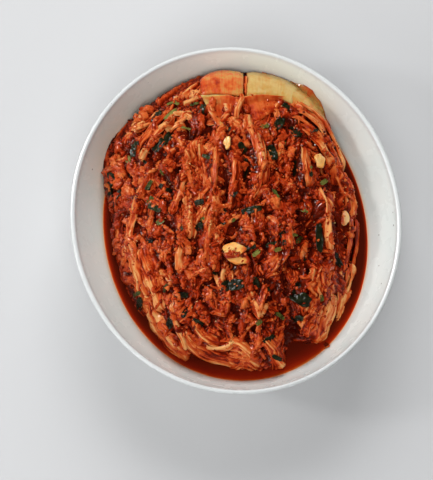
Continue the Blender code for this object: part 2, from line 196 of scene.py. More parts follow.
class KimchiStageSettings(bpy.types.PropertyGroup):
    """Floor, light and camera."""
    floor: FloatVectorProperty(
        name="Floor", description="Colour of the plain floor",
        default=(0.538, 0.543, 0.551), **COLOUR)
    key_power: FloatProperty(
        name="Window", description="Power of the soft window light",
        default=6.3, min=0.0, unit="POWER")
    panel_power: FloatProperty(
        name="Panel", description="Power of the large soft panel behind the bowl",
        default=15.8, min=0.0, unit="POWER")
    side_power: FloatProperty(
        name="Side", description="Power of the small light on the far left",
        default=3.8, min=0.0, unit="POWER")
    front_power: FloatProperty(
        name="Front", description="Power of the high light from the near side",
        default=8.0, min=0.0, unit="POWER")
    glint_power: FloatProperty(
        name="Glint", description="Power of the small lamp that only gives the wet film glints",
        default=24.0, min=0.0, unit="POWER")
    fill: FloatProperty(
        name="Fill", description="Strength of the even light from all round",
        default=0.045, min=0.0)
    lens: FloatProperty(
        name="Lens", description="Focal length of the camera in millimetres",
        default=85.0, min=10.0)
    tilt: FloatProperty(
        name="Tilt", description="How far the camera leans from looking straight down",
        default=math.radians(14), subtype="ANGLE", unit="ROTATION")
    distance: FloatProperty(
        name="Distance", description="Camera to the middle of the view",
        default=0.872, min=0.1, unit="LENGTH")


# ---------------- shape of bowl and heap

def oval_amount(radius):
    """How far out of round the bowl is at this radius."""
    inner = OVAL_WELL * np.minimum(1.0, radius / WELL_RADIUS)
    past = np.clip((radius - WELL_RADIUS) / (RIM_RADIUS - WELL_RADIUS), 0.0, 1.0)
    return inner - (OVAL_WELL - OVAL_RIM) * past


def well_shift(radius):
    """The well's offset along Y, gone by the rim."""
    past = np.clip((radius - WELL_RADIUS) / (RIM_RADIUS - WELL_RADIUS), 0.0, 1.0)
    return WELL_SHIFT * (1.0 - past)


def wall_height(radius):
    """Height of the bowl's inside at a radius of the round profile."""
    climb = np.maximum(0.0, (radius - FLAT_RADIUS) / (RIM_RADIUS - LIP_RADIUS - FLAT_RADIUS))
    return FLOOR_TOP + (BOWL_HEIGHT - LIP_RADIUS - FLOOR_TOP) * climb ** WALL_CURVE


def make_oval(points):
    """Squeeze turned points from round to the bowl's oval."""
    radius = np.hypot(points[:, 0], points[:, 1])
    angle = np.arctan2(points[:, 1], points[:, 0])
    wide = radius * (1.0 + oval_amount(radius) * np.cos(2.0 * (angle - OVAL_TURN)))
    return np.column_stack([
        wide * np.cos(angle), wide * np.sin(angle) + well_shift(radius), points[:, 2]])


def cavity_height(x, y):
    """Height of the bowl's inside at a place in the oval bowl."""
    radius = np.hypot(x, y)
    for _ in range(OVAL_ROUNDS):
        moved = y - well_shift(radius)
        angle = np.arctan2(moved, x)
        squeeze = 1.0 + oval_amount(radius) * np.cos(2.0 * (angle - OVAL_TURN))
        radius = np.hypot(x, moved) / squeeze
    return wall_height(radius)


def outline_radius(angle):
    """Smooth radius of the heap's outline in a direction, in radians."""
    degrees = (np.degrees(angle) + 180.0) % 360.0 - 180.0
    turns = np.concatenate([
        HEAP_OUTLINE[-2:] - (360, 0), HEAP_OUTLINE, HEAP_OUTLINE[:2] + (360, 0)])
    last = np.searchsorted(turns[:, 0], degrees, side="right") - 1
    before, start, end, after = (turns[last + step] for step in (-1, 0, 1, 2))
    span = end[..., 0] - start[..., 0]
    slope_in = (end[..., 1] - before[..., 1]) / (end[..., 0] - before[..., 0]) * span
    slope_out = (after[..., 1] - start[..., 1]) / (after[..., 0] - start[..., 0]) * span
    t = (degrees - start[..., 0]) / span
    return MM * (
        (2 * t ** 3 - 3 * t ** 2 + 1) * start[..., 1]
        + (t ** 3 - 2 * t ** 2 + t) * slope_in
        + (3 * t ** 2 - 2 * t ** 3) * end[..., 1]
        + (t ** 3 - t ** 2) * slope_out
    )


def heap_place(across, along):
    """A place in heap units as x and y in metres."""
    angle = np.arctan2(along, across)
    radius = np.hypot(across, along) * outline_radius(angle)
    return radius * np.cos(angle), radius * np.sin(angle)


def heap_units(x, y):
    """The place in heap units of x and y in metres."""
    angle = np.arctan2(y, x)
    reach = np.hypot(x, y) / outline_radius(angle)
    return reach * np.cos(angle), reach * np.sin(angle)


def heap_height(x, y):
    """Height of the rounded heap, or of the bowl's wall beyond its outline."""
    angle = np.arctan2(y, x)
    reach = np.minimum(1.0, np.hypot(x, y) / outline_radius(angle))
    edge = HEAP_EDGE + LEAN_HEIGHT * np.maximum(0.0, np.cos(angle - LEAN_TURN)) ** LEAN_SPREAD
    dome = edge + (HEAP_TOP - edge) * (1.0 - reach ** DOME_INNER) ** DOME_OUTER
    return np.maximum(dome, cavity_height(x, y) + EDGE_COVER)


def surface(x, y, lift=0.0):
    """Points above the smooth heap, and the heap's normals there."""
    x, y = np.atleast_1d(np.asarray(x, float)), np.atleast_1d(np.asarray(y, float))
    step = 2.0 * MM
    rise_x = heap_height(x + step, y) - heap_height(x - step, y)
    rise_y = heap_height(x, y + step) - heap_height(x, y - step)
    normal = np.column_stack([-rise_x, -rise_y, np.full(x.shape, 2.0 * step)])
    normal /= np.linalg.norm(normal, axis=1)[:, None]
    points = np.column_stack([x, y, heap_height(x, y)])
    return points + normal * np.reshape(lift, (-1, 1)), normal


def curve_points(path, amounts):
    """Points on the smooth curve through a path, at shares of its run."""
    path = np.asarray(path, float)
    count = len(path) - 1
    place = np.clip(amounts, 0.0, 1.0) * count
    index = np.minimum(place.astype(int), count - 1)
    t = (place - index)[:, None]
    before, start = path[np.maximum(index - 1, 0)], path[index]
    end, after = path[index + 1], path[np.minimum(index + 2, count)]
    return 0.5 * (
        2 * start + (end - before) * t
        + (2 * before - 5 * start + 4 * end - after) * t * t
        + (3 * start - before - 3 * end + after) * t ** 3
    )


def noise_at(points, size, seed):
    """Smooth noise from about -1 to 1, with features of about this size."""
    scaled = np.asarray(points, float) / size + 7.31 * seed
    return np.array([noise.noise(point) for point in scaled.tolist()])


def puffs(points, size, seed):
    """Rounded bumps from 0 to about 1, with narrow creases between them."""
    return np.minimum(1.0, 2.2 * np.abs(noise_at(points, size, seed)))


def smooth_step(low, high, value):
    """0 below low, 1 above high and an even curve between."""
    t = np.clip((value - low) / (high - low), 0.0, 1.0)
    return t * t * (3.0 - 2.0 * t)


# ---------------- meshes

def add_piece(name, form, material):
    """Turn a bmesh into a smooth-shaded object with one material."""
    mesh = bpy.data.meshes.new(name)
    form.to_mesh(mesh)
    form.free()
    return link_piece(name, mesh, material)


def link_piece(name, mesh, material):
    """Put a finished mesh in the scene."""
    mesh.materials.append(material)
    mesh.shade_smooth()
    piece = bpy.data.objects.new(name, mesh)
    bpy.context.scene.collection.objects.link(piece)
    return piece


def belongs(piece, slot, *nodes):
    """The piece rides on the bowl and stands for these nodes; all but the stoneware and the broth
    get a stands_out value.
    """
    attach(piece, BODY)
    if slot not in ("stoneware", "broth"):
        set_value(piece.data, "stands_out", np.full(len(piece.data.vertices), 0.5))
    if nodes:
        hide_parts(*nodes)


def everything_wet():
    """The meshes of the food, which get painted shade in their hollows."""
    return [
        thing for thing in bpy.context.scene.objects
        if thing.type == "MESH" and "stands_out" in thing.data.attributes]


def positions(verts):
    """The places of bmesh vertices as an array."""
    return np.array([vert.co for vert in verts], float).reshape(-1, 3)


def move_to(verts, points):
    """Give bmesh vertices new places."""
    for vert, point in zip(verts, points.tolist()):
        vert.co = point


def set_value(mesh, name, values):
    """Store one number for each vertex, for a material to read."""
    layer = mesh.attributes.new(name, "FLOAT", "POINT")
    layer.data.foreach_set("value", np.asarray(values, np.float32))


def thicken(sheet, thickness):
    """Give a sheet its thickness, below the side that shows."""
    solid = sheet.modifiers.new("thickness", "SOLIDIFY")
    solid.thickness = thickness
    solid.offset = -1.0
    return sheet


def turned(profile, steps):
    """Spin a closed run of (radius, height) points about Z."""
    form = bmesh.new()
    verts = [form.verts.new((radius, 0.0, height)) for radius, height in profile]
    edges = [form.edges.new(pair) for pair in zip(verts, verts[1:])]
    bmesh.ops.spin(
        form, geom=verts + edges, cent=(0, 0, 0), axis=(0, 0, 1), dvec=(0, 0, 0),
        angle=math.tau, steps=steps, use_merge=True)
    bmesh.ops.remove_doubles(form, verts=form.verts[:], dist=1e-6)
    move_to(form.verts, make_oval(positions(form.verts)))
    bmesh.ops.recalc_face_normals(form, faces=form.faces[:])
    return form


class Template:
    """A small shape to copy many times: points, and faces as triangles."""

    def __init__(self, form):
        bmesh.ops.triangulate(form, faces=form.faces[:])
        bmesh.ops.recalc_face_normals(form, faces=form.faces[:])
        form.verts.index_update()
        self.points = positions(form.verts)
        self.faces = np.array([[vert.index for vert in face.verts] for face in form.faces])
        form.free()


def join_copies(name, template, copies, material, **values):
    """One object of many placed copies of a template, with values for each copy."""
    count = len(template.points)
    starts = count * np.arange(len(copies))
    faces = (template.faces[None] + starts[:, None, None]).reshape(-1, 3)
    mesh = bpy.data.meshes.new(name)
    mesh.from_pydata(np.concatenate(copies).tolist(), [], faces.tolist())
    for value_name, numbers in values.items():
        set_value(mesh, value_name, np.repeat(numbers, count))
    return link_piece(name, mesh, material)


def edges_along_x(form):
    """The edges of a unit bar that run along it."""
    return [edge for edge in form.edges if abs((edge.verts[0].co - edge.verts[1].co).x) > 0.5]


def stick_template():
    """A unit bar along X with soft edges: X from 0 to 1, Y and Z from -0.5 to 0.5."""
    form = bmesh.new()
    bmesh.ops.create_cube(form, size=1.0)
    runs = edges_along_x(form)
    bmesh.ops.bevel(
        form, geom=runs, offset=0.22, offset_type="OFFSET", affect="EDGES",
        segments=1, profile=0.5, material=-1)
    bmesh.ops.subdivide_edges(form, edges=edges_along_x(form), cuts=6, use_grid_fill=True)
    for vert in form.verts:
        taper = 1.0 - 0.45 * (2.0 * abs(vert.co.x)) ** 3
        vert.co = (vert.co.x + 0.5, vert.co.y * taper, vert.co.z * taper)
    return Template(form)


def ball_form(detail, rough, size, seed):
    """A ball about one unit across, roughened by noise with features of a size."""
    form = bmesh.new()
    bmesh.ops.create_icosphere(form, subdivisions=detail, radius=0.5)
    points = positions(form.verts)
    move_to(form.verts, points * (1.0 + rough * noise_at(points, size, seed))[:, None])
    return form


class Ground:
    """What already lies in the bowl, to lay the next things on."""
    REACH = 0.020

    def __init__(self, names):
        graph = bpy.context.evaluated_depsgraph_get()
        points, faces, ends, count = [], [], [], 0
        for name in names:
            thing = bpy.data.objects[name].evaluated_get(graph)
            mesh = thing.to_mesh()
            spots = np.empty(3 * len(mesh.vertices), np.float32)
            mesh.vertices.foreach_get("co", spots)
            points.append(spots.reshape(-1, 3))
            faces += [[index + count for index in face.vertices] for face in mesh.polygons]
            count += len(mesh.vertices)
            ends.append(len(faces))
            thing.to_mesh_clear()
        self.names = list(names)
        self.ends = np.array(ends)
        self.tree = BVHTree.FromPolygons(np.concatenate(points).tolist(), faces)

    def land(self, x, y):
        """How far above the smooth heap the ground is at each place, and what is there."""
        tops, normals = surface(x, y, self.REACH)
        lifts, under = [], []
        for top, normal in zip(tops.tolist(), normals.tolist()):
            down = [-value for value in normal]
            _, _, face, fall = self.tree.ray_cast(top, down, 2.0 * self.REACH)
            lifts.append(self.REACH - fall if fall is not None else -self.REACH)
            under.append(
                self.names[int(np.searchsorted(self.ends, face, side="right"))]
                if face is not None else "")
        return np.array(lifts), under


def lay_line(ground, place, length, turn, stiff, stations=7, bend=0.0):
    """A line laid on the ground: its points and the heap's normals along it."""
    x, y = heap_place(*np.array(place))
    steps = np.linspace(-0.5, 0.5, stations) * length
    turns = turn + bend * np.linspace(-1.0, 1.0, stations)
    xs, ys = x + np.cos(turns) * steps, y + np.sin(turns) * steps
    lifts, _ = ground.land(xs, ys)
    fitted = np.polyval(np.polyfit(steps, lifts, 1 if stiff > 0.5 else 2), steps)
    eased = stiff * fitted + (1.0 - stiff) * lifts
    points, normals = surface(xs, ys, eased)
    return points, normals


def bend_onto(template, line, normals, width, thick, roll=0.0, raise_by=0.0):
    """The template's points carried onto a line, its X along the line."""
    run = np.gradient(line, axis=0)
    run /= np.linalg.norm(run, axis=1)[:, None]
    side = np.cross(normals, run)
    side /= np.linalg.norm(side, axis=1)[:, None]
    up = np.cross(run, side)
    at = template.points[:, 0] * (len(line) - 1)
    marks = np.arange(len(line))

    def along(values):
        return np.column_stack([np.interp(at, marks, values[:, k]) for k in range(3)])

    flat, tall = template.points[:, 1] * width, template.points[:, 2] * thick
    out = flat * math.cos(roll) - tall * math.sin(roll)
    high = flat * math.sin(roll) + tall * math.cos(roll) + raise_by
    return along(line) + along(side) * out[:, None] + along(up) * high[:, None]


def flow_turn(across, along):
    """Direction in which the leaves run at a place in heap units."""
    half = math.sqrt(max(0.02, 1.0 - along * along))
    ahead = (-across * along / (half * half), 1.0)
    step = 0.01
    x0, y0 = heap_place(np.array(across), np.array(along))
    x1, y1 = heap_place(np.array(across + step * ahead[0]), np.array(along + step * ahead[1]))
    return math.atan2(y1 - y0, x1 - x0)


def turned_axes(normal, turn):
    """A frame on the heap: columns are the run, the side and the normal."""
    flat = np.array([math.cos(turn), math.sin(turn), 0.0])
    run = flat - normal * flat.dot(normal)
    run /= np.linalg.norm(run)
    return np.column_stack([run, np.cross(normal, run), normal])


# ---------------- materials

class Finish:
    """A material being built, with short ways to add its nodes."""

    def __init__(self, name):
        self.material = bpy.data.materials.new(name)
        self.material.use_nodes = True
        self.tree = self.material.node_tree
        self.shader = self.tree.nodes["Principled BSDF"]
        self.place = self.add("ShaderNodeTexCoord").outputs["Object"]

    def add(self, kind, **settings):
        """A new node with its settings."""
        node = self.tree.nodes.new(kind)
        for name, value in settings.items():
            setattr(node, name, value)
        return node

    def feed(self, socket, source):
        """Link a socket to another, or set it to a number or a colour."""
        if isinstance(source, bpy.types.NodeSocket):
            self.tree.links.new(source, socket)
        elif hasattr(source, "__len__") and len(source) == 3 and socket.type == "RGBA":
            socket.default_value = (*source, 1.0)
        else:
            socket.default_value = source

    def value(self, name):
        """A number stored on the mesh."""
        return self.add("ShaderNodeAttribute", attribute_name=name).outputs["Fac"]

    def stirred(self, level, source, low, high, span=(0.3, 0.7), clamp=False):
        """A level raised and lowered where the source runs over its span."""
        return self.sum("ADD", level, self.spread(source, *span, low, high), clamp=clamp)

    def shade_hollows(self, level, amount):
        """A level lowered in the hollows and raised a little on the crests: painted shade and
        painted light.
        """
        stands_out = self.value("stands_out")
        level = self.stirred(level, stands_out, -0.5 * amount, 0.0, (0.0, 0.5))
        return self.stirred(level, stands_out, 0.0, 0.16 * amount, (0.5, 1.0), clamp=True)

    def shaded(self, colour, darkest):
        """A colour darkened in the hollows: painted shade."""
        depth = self.spread(self.value("stands_out"), 0.10, 0.55, 1.0, 0.0)
        in_shade = self.mix(1.0, colour, darkest, "MULTIPLY")
        return self.mix(depth, colour, in_shade)

    def scaled(self, source, scale):
        """Coordinates stretched by a scale for each axis."""
        node = self.add("ShaderNodeMapping")
        self.feed(node.inputs["Vector"], source)
        node.inputs["Scale"].default_value = scale
        return node.outputs["Vector"]

    def noise(self, scale, detail=2.0, at=None, rough=0.5):
        """Smooth noise from 0 to 1."""
        node = self.add("ShaderNodeTexNoise")
        self.feed(node.inputs["Vector"], at or self.place)
        node.inputs["Scale"].default_value = scale
        node.inputs["Detail"].default_value = detail
        node.inputs["Roughness"].default_value = rough
        return node.outputs["Fac"]

    def sum(self, operation, first, second, clamp=False):
        """A Math node."""
        node = self.add("ShaderNodeMath", operation=operation, use_clamp=clamp)
        self.feed(node.inputs[0], first)
        self.feed(node.inputs[1], second)
        return node.outputs[0]

    def spread(self, source, low, high, to_low=0.0, to_high=1.0):
        """A number's range moved to another range, and held to it."""
        node = self.add("ShaderNodeMapRange", clamp=True)
        for socket, number in zip(node.inputs, (source, low, high, to_low, to_high)):
            self.feed(socket, number)
        return node.outputs["Result"]

    def ramp(self, source, *stops):
        """Colours along a number: (place, colour) pairs."""
        node = self.add("ShaderNodeValToRGB")
        elements = node.color_ramp.elements
        while len(elements) < len(stops):
            elements.new(0.5)
        for element, (place, colour) in zip(elements, stops):
            element.position = place
            element.color = (*colour, 1.0)
        self.feed(node.inputs["Fac"], source)
        return node.outputs["Color"]

    def mix(self, amount, first, second, blend="MIX"):
        """A mix of two colours."""
        node = self.add("ShaderNodeMix", data_type="RGBA", blend_type=blend)
        self.feed(node.inputs["Factor"], amount)
        colour_inputs = [socket for socket in node.inputs if socket.type == "RGBA"]
        self.feed(colour_inputs[0], first)
        self.feed(colour_inputs[1], second)
        return next(socket for socket in node.outputs if socket.type == "RGBA")

    def bumps(self, height, distance, strength=1.0):
        """Fine relief on the shading."""
        node = self.add("ShaderNodeBump")
        node.inputs["Distance"].default_value = distance
        node.inputs["Strength"].default_value = strength
        self.feed(node.inputs["Height"], height)
        self.feed(self.shader.inputs["Normal"], node.outputs["Normal"])

    def finish(self, colour, roughness, **constants):
        """Set the shader's colour, roughness and other fixed sockets."""
        self.feed(self.shader.inputs["Base Color"], colour)
        self.feed(self.shader.inputs["Roughness"], roughness)
        for name, number in constants.items():
            self.shader.inputs[name.replace("_", " ")].default_value = number
        return self.material


# Wet food: a thin film of broth over soft, slightly translucent stuff
WET = {
    "IOR": 1.36, "Specular_IOR_Level": 0.22, "Specular_Tint": (1.0, 0.50, 0.34, 1.0),
    "Coat_Weight": 0.20, "Coat_Roughness": 0.06,
}
LEAF_WET = {**WET, "Specular_IOR_Level": 0.16, "Coat_Weight": 0.14}
# The bare glaze outside; a darker grey for the lip, painted shade that tones down the light the
# round lip catches; a painted warm reflection of the red food on the glaze beside it; and the juice
# film that stains the wall above the broth
OUTER_GLAZE = (0.745, 0.760, 0.740)
LIP_PAINTED_SHADE = (0.615, 0.635, 0.635)
FOOD_REFLECTION_TINT = (0.70, 0.50, 0.30)
JUICE_FILM = (0.78, 0.42, 0.15)


def glaze_finish(settings):
    """Satin off-white glaze, faintly mottled, with small iron specks."""
    finish = Finish("speckled_glaze")
    cells = finish.add("ShaderNodeTexVoronoi", feature="F1")
    finish.feed(cells.inputs["Vector"], finish.place)
    cells.inputs["Scale"].default_value = 1.0 / settings.speck_spacing
    size = finish.add("ShaderNodeSeparateColor")
    finish.feed(size.inputs[0], cells.outputs["Color"])
    reach = finish.spread(size.outputs[0], 0.35, 1.0, -0.02, 0.085)
    within = finish.sum("SUBTRACT", reach, cells.outputs["Distance"])
    speck = finish.spread(within, -0.01, 0.02)
    shade = finish.mix(
        finish.spread(finish.noise(38.0, 4.0), 0.3, 0.7, 0.0, 0.12), settings.glaze,
        tuple(0.86 * part for part in settings.glaze))
    place = finish.add("ShaderNodeSeparateXYZ")
    finish.feed(place.inputs[0], finish.place)
    film = finish.spread(place.outputs[2], BROTH_TOP, BROTH_TOP + FILM_HEIGHT, 0.95, 0.0)
    film = finish.sum("MULTIPLY", finish.sum("POWER", film, 3.0), finish.value("inside"))
    # Inside, the glaze keeps its green-blue tint: a painted correction against the pink light
    # bounced from the food
    shade = finish.mix(finish.value("inside"), OUTER_GLAZE, shade)
    # Painted warm reflection of the red food on the glaze beside the heap
    shade = finish.mix(finish.value("smear"), shade, FOOD_REFLECTION_TINT)
    shade = finish.mix(film, shade, JUICE_FILM)
    # The lip is painted darker: painted shade against the light that the round lip catches
    lip = finish.spread(place.outputs[2], BOWL_HEIGHT - 4 * MM, BOWL_HEIGHT - 1 * MM, 0.0, 0.9)
    shade = finish.mix(lip, shade, LIP_PAINTED_SHADE)
    colour = finish.mix(finish.sum("MULTIPLY", speck, 0.85), shade, settings.speck)
    finish.bumps(finish.noise(160.0, 3.0), 0.00012, 0.5)
    return finish.finish(
        colour, finish.spread(finish.noise(70.0, 2.0), 0.3, 0.7, 0.20, 0.32),
        Coat_Weight=0.18, Coat_Roughness=0.08, Specular_IOR_Level=0.42)


def broth_finish(food):
    """Dark red liquid that turns orange where it is shallow."""
    finish = Finish("red_broth")
    depth = finish.stirred(finish.value("depth"), finish.noise(60.0, 3.0), -0.02, 0.02)
    colour = finish.ramp(
        depth, (0.0, food.broth_thin), (0.05, (0.60, 0.095, 0.008)), (0.11, (0.38, 0.022, 0.002)),
        (0.26, (0.23, 0.0105, 0.0015)), (0.50, (0.115, 0.0072, 0.001)), (1.0, food.broth_deep))
    finish.bumps(finish.noise(55.0, 1.0), 0.0004, 0.25)
    return finish.finish(colour, 0.06, IOR=1.36, Specular_IOR_Level=0.5)


def paste_finish(food, name, shift):
    """Wet chili paste: painted dark in the hollows and orange on the crests, as painted shade and
    painted light, and lighter by the shift.
    """
    finish = Finish(name)
    patches = finish.noise(60.0, 3.0)
    grain = finish.noise(620.0, 3.0, rough=0.65)
    regions = finish.noise(24.0, 1.0)
    level = finish.stirred(finish.value("light"), patches, shift - 0.16, shift + 0.16)
    level = finish.stirred(level, grain, -0.14, 0.14)
    level = finish.stirred(level, regions, -0.12, 0.14, (0.35, 0.65))
    level = finish.shade_hollows(level, 0.95)
    colour = finish.ramp(
        level, (0.0, food.paste_deep), (0.30, tuple(0.45 * part for part in food.paste_red)),
        (0.52, food.paste_red), (0.80, food.paste_orange), (1.0, food.leaf_orange))
    finish.bumps(finish.noise(700.0, 3.0, rough=0.6), 0.0008, 0.8)
    return finish.finish(
        colour, finish.spread(finish.noise(300.0, 2.0), 0.3, 0.7, 0.10, 0.26), **WET)


def leaf_finish(food):
    """Wet cabbage leaf: striped along its length, orange, paler on the ribs."""
    finish = Finish("cabbage_leaf")
    along = finish.add("ShaderNodeUVMap").outputs["UV"]
    stripes = finish.noise(1.0, 2.0, at=finish.scaled(along, (560.0, 45.0, 1.0)), rough=0.5)
    veins = finish.noise(1.0, 2.0, at=finish.scaled(along, (1300.0, 110.0, 1.0)), rough=0.6)
    patches = finish.noise(90.0, 3.0)
    regions = finish.noise(26.0, 1.0)
    pale = finish.stirred(finish.value("pale"), stripes, -0.34, 0.34)
    pale = finish.stirred(pale, veins, -0.16, 0.16)
    pale = finish.stirred(pale, regions, -0.12, 0.16, (0.35, 0.65))
    pale = finish.stirred(pale, patches, -0.16, 0.16)
    pale = finish.shade_hollows(pale, 0.8)
    colour = finish.ramp(
        pale, (0.0, tuple(0.35 * part for part in food.paste_red)), (0.24, food.paste_red),
        (0.44, food.paste_orange), (0.66, food.leaf_orange), (1.0, food.leaf_pale))
    finish.bumps(finish.sum("ADD", stripes, veins), 0.0008, 0.8)
    return finish.finish(
        colour, finish.spread(patches, 0.3, 0.7, 0.16, 0.34), **LEAF_WET,
        Subsurface_Weight=0.15, Subsurface_Scale=0.0015)


def stem_finish(food, name):
    """Waxy pale stem with fine fibres, stained orange and red."""
    finish = Finish(name)
    along = finish.add("ShaderNodeUVMap").outputs["UV"]
    fibres = finish.noise(1.0, 3.0, at=finish.scaled(along, (34.0, 1.3, 1.0)), rough=0.55)
    clouds = finish.noise(60.0, 3.0)
    spots = finish.noise(240.0, 3.0)
    stain = finish.stirred(finish.value("stain"), clouds, -0.15, 0.17)
    stain = finish.stirred(stain, fibres, -0.10, 0.12)
    stain = finish.stirred(stain, spots, -0.03, 0.22, (0.4, 0.8), clamp=True)
    dark = tuple(part * share for part, share in zip(food.stem, (0.92, 0.74, 0.52)))
    colour = finish.shaded(finish.ramp(
        stain, (0.0, food.stem), (0.32, dark), (0.58, food.leaf_orange),
        (0.80, food.paste_orange), (1.0, food.paste_red)), (0.85, 0.6, 0.45))
    finish.bumps(fibres, 0.0005, 0.5)
    return finish.finish(
        colour, finish.spread(clouds, 0.3, 0.7, 0.22, 0.36),
        IOR=1.36, Specular_IOR_Level=0.2, Coat_Weight=0.22, Coat_Roughness=0.08,
        Subsurface_Weight=0.2, Subsurface_Scale=0.003)


def radish_finish(food):
    """Radish sticks and minced bits, soaked orange to nearly bare."""
    finish = Finish("radish")
    patches = finish.noise(260.0, 3.0)
    tint = finish.stirred(finish.value("tint"), patches, -0.24, 0.24)
    tint = finish.shade_hollows(tint, 0.8)
    colour = finish.ramp(
        tint, (0.0, tuple(0.5 * part for part in food.paste_red)), (0.32, food.paste_orange),
        (0.64, food.leaf_orange), (1.0, food.leaf_pale))
    finish.bumps(finish.noise(500.0, 3.0), 0.0006, 0.7)
    return finish.finish(
        colour, 0.22, **WET, Subsurface_Weight=0.15, Subsurface_Scale=0.0012)


def garlic_finish(food):
    """Cream garlic, stained red towards its edge."""
    finish = Finish("garlic_slice")
    patches = finish.noise(150.0, 3.0)
    stain = finish.stirred(
        finish.value("stain"), patches, -0.18, 0.30, (0.35, 0.7), clamp=True)
    colour = finish.shaded(finish.ramp(
        stain, (0.0, food.garlic), (0.5, tuple(
            part * scale for part, scale in zip(food.garlic, (0.95, 0.62, 0.35)))),
        (0.8, food.paste_orange), (1.0, food.paste_red)), (0.7, 0.25, 0.12))
    finish.bumps(finish.noise(420.0, 2.0), 0.0003, 0.4)
    return finish.finish(
        colour, 0.28, Coat_Weight=0.4, Coat_Roughness=0.06,
        Subsurface_Weight=0.3, Subsurface_Scale=0.002)


def green_finish(food):
    """Mustard green and scallion: near black to yellow-green."""
    finish = Finish("wet_greens")
    patches = finish.noise(320.0, 3.0)
    tint = finish.stirred(finish.value("tint"), patches, -0.16, 0.16, clamp=True)
    tint = finish.shade_hollows(tint, 0.3)
    colour = finish.shaded(finish.ramp(
        tint, (0.0, food.green_dark), (0.35, (0.019, 0.022, 0.006)),
        (0.65, (0.070, 0.080, 0.014)), (1.0, food.green_light)), (0.6, 0.3, 0.25))
    streaks = finish.noise(1.0, 3.0, at=finish.scaled(finish.place, (900.0, 260.0, 500.0)))
    finish.bumps(streaks, 0.0005, 0.6)
    return finish.finish(
        colour, 0.30, IOR=1.36, Specular_IOR_Level=0.12, Coat_Weight=0.08, Coat_Roughness=0.06)


def flake_finish():
    """Thin chili skin, deep red, and pale seeds among it."""
    finish = Finish("chili_flake")
    colour = finish.ramp(
        finish.value("tint"), (0.0, (0.10, 0.004, 0.002)), (0.45, (0.34, 0.014, 0.004)),
        (0.86, (0.52, 0.045, 0.008)), (0.93, (0.66, 0.36, 0.10)), (1.0, (0.74, 0.48, 0.18)))
    finish.bumps(finish.noise(1100.0, 2.0), 0.0003, 0.4)
    return finish.finish(finish.shaded(colour, (0.4, 0.3, 0.3)), 0.18, **WET)


# ---------------- bowl and broth

BOWL_STEPS = 176
WALL_RINGS = 44
LIP_RINGS = 8
GLAZE_STEP = 0.5 * MM
# How strongly the painted warm reflection of the red food tints the glaze beside it in each
# direction, in degrees
FOOD_REFLECTION_SHARES = ((-180, 0.65), (-140, 0.4), (-100, 0.15), (-60, 0.0), (-20, 0.1), (20, 0.25),
          (60, 0.2), (100, 0.4), (130, 0.6), (180, 0.65))
FOOD_REFLECTION_REACH = 9.0 * MM


def wall_profile(clearance, rings):
    """Points up the bowl's inside, moved off the wall by the clearance."""
    radius = FLAT_RADIUS + (RIM_RADIUS - LIP_RADIUS - FLAT_RADIUS) * np.linspace(0, 1, rings) ** 0.8
    slope = (wall_height(radius + GLAZE_STEP) - wall_height(radius - GLAZE_STEP)) / (2 * GLAZE_STEP)
    length = np.hypot(1.0, slope)
    return list(zip(
        (radius - clearance * slope / length).tolist(),
        (wall_height(radius) + clearance / length).tolist()))


class KIMCHI_OT_bowl(bpy.types.Operator):
    """Turn the bowl: inside curve, round lip, outside curve and foot ring"""
    bl_idname = "kimchi.bowl"
    bl_label = "Bowl"

    def execute(self, context):
        settings = context.scene.kimchi_bowl
        lip_height = BOWL_HEIGHT - LIP_RADIUS
        lip = [
            (RIM_RADIUS + LIP_RADIUS * math.cos(turn), lip_height + LIP_RADIUS * math.sin(turn))
            for turn in np.linspace(math.pi, 0.0, LIP_RINGS + 2)[1:]
        ]
        outside = [
            point for point in reversed(wall_profile(-WALL, WALL_RINGS))
            if point[0] > FOOT_RADIUS + 4 * MM and point[1] < lip_height - 3 * MM
        ]
        foot = [
            (FOOT_RADIUS + 1.5 * MM, FOOT_HEIGHT + 1.5 * MM), (FOOT_RADIUS + 0.5 * MM, 2.0 * MM),
            (FOOT_RADIUS, 0.6 * MM), (FOOT_RADIUS - 0.7 * MM, 0.0),
            (FOOT_RADIUS - FOOT_WIDTH + 0.7 * MM, 0.0), (FOOT_RADIUS - FOOT_WIDTH, 0.6 * MM),
            (FOOT_RADIUS - FOOT_WIDTH - 1.0 * MM, FOOT_HEIGHT), (0.0, FOOT_HEIGHT),
        ]
        profile = [(0.0, FLOOR_TOP)] + wall_profile(0.0, WALL_RINGS) + lip + outside + foot
        form = turned(profile, BOWL_STEPS)
        points = positions(form.verts)
        stray = noise_at(points * (1, 1, 0.4), 55 * MM, 3) * smooth_step(
            20 * MM, BOWL_HEIGHT, points[:, 2])
        points[:, 0:2] *= 1.0 + (stray * settings.wobble / RIM_RADIUS)[:, None]
        move_to(form.verts, points)
        angle = np.arctan2(points[:, 1], points[:, 0])
        beyond = np.hypot(points[:, 0], points[:, 1]) - outline_radius(angle)
        share = np.interp(np.degrees(angle), *np.array(FOOD_REFLECTION_SHARES, float).T)
        bowl = add_piece("glazed_bowl", form, glaze_finish(settings))
        inside = (points[:, 2] > cavity_height(points[:, 0], points[:, 1]) - 1 * MM).astype(float)
        set_value(bowl.data, "inside", inside)
        # The painted reflection of the food fades away from the heap's outline
        smear = share * np.exp(-np.maximum(0.0, beyond) / FOOD_REFLECTION_REACH)
        set_value(bowl.data, "smear", inside * smear)
        belongs(bowl, "stoneware", "bowl")
        return {"FINISHED"}


BROTH_RINGS = 70
BROTH_INTO_WALL = 0.25 * MM
MENISCUS = 0.5 * MM
MENISCUS_REACH = 1.6 * MM
DEPTH_SPAN = 28.0 * MM
# How dark the broth looks in each direction, in degrees: nearly black at the right
BROTH_DARKNESS = ((-180, 2.6), (-130, 2.1), (-90, 1.3), (-60, 1.2), (-40, 2.6), (-25, 5.0),
                  (0, 7.0), (50, 6.0), (100, 1.8), (150, 2.4), (180, 2.6))


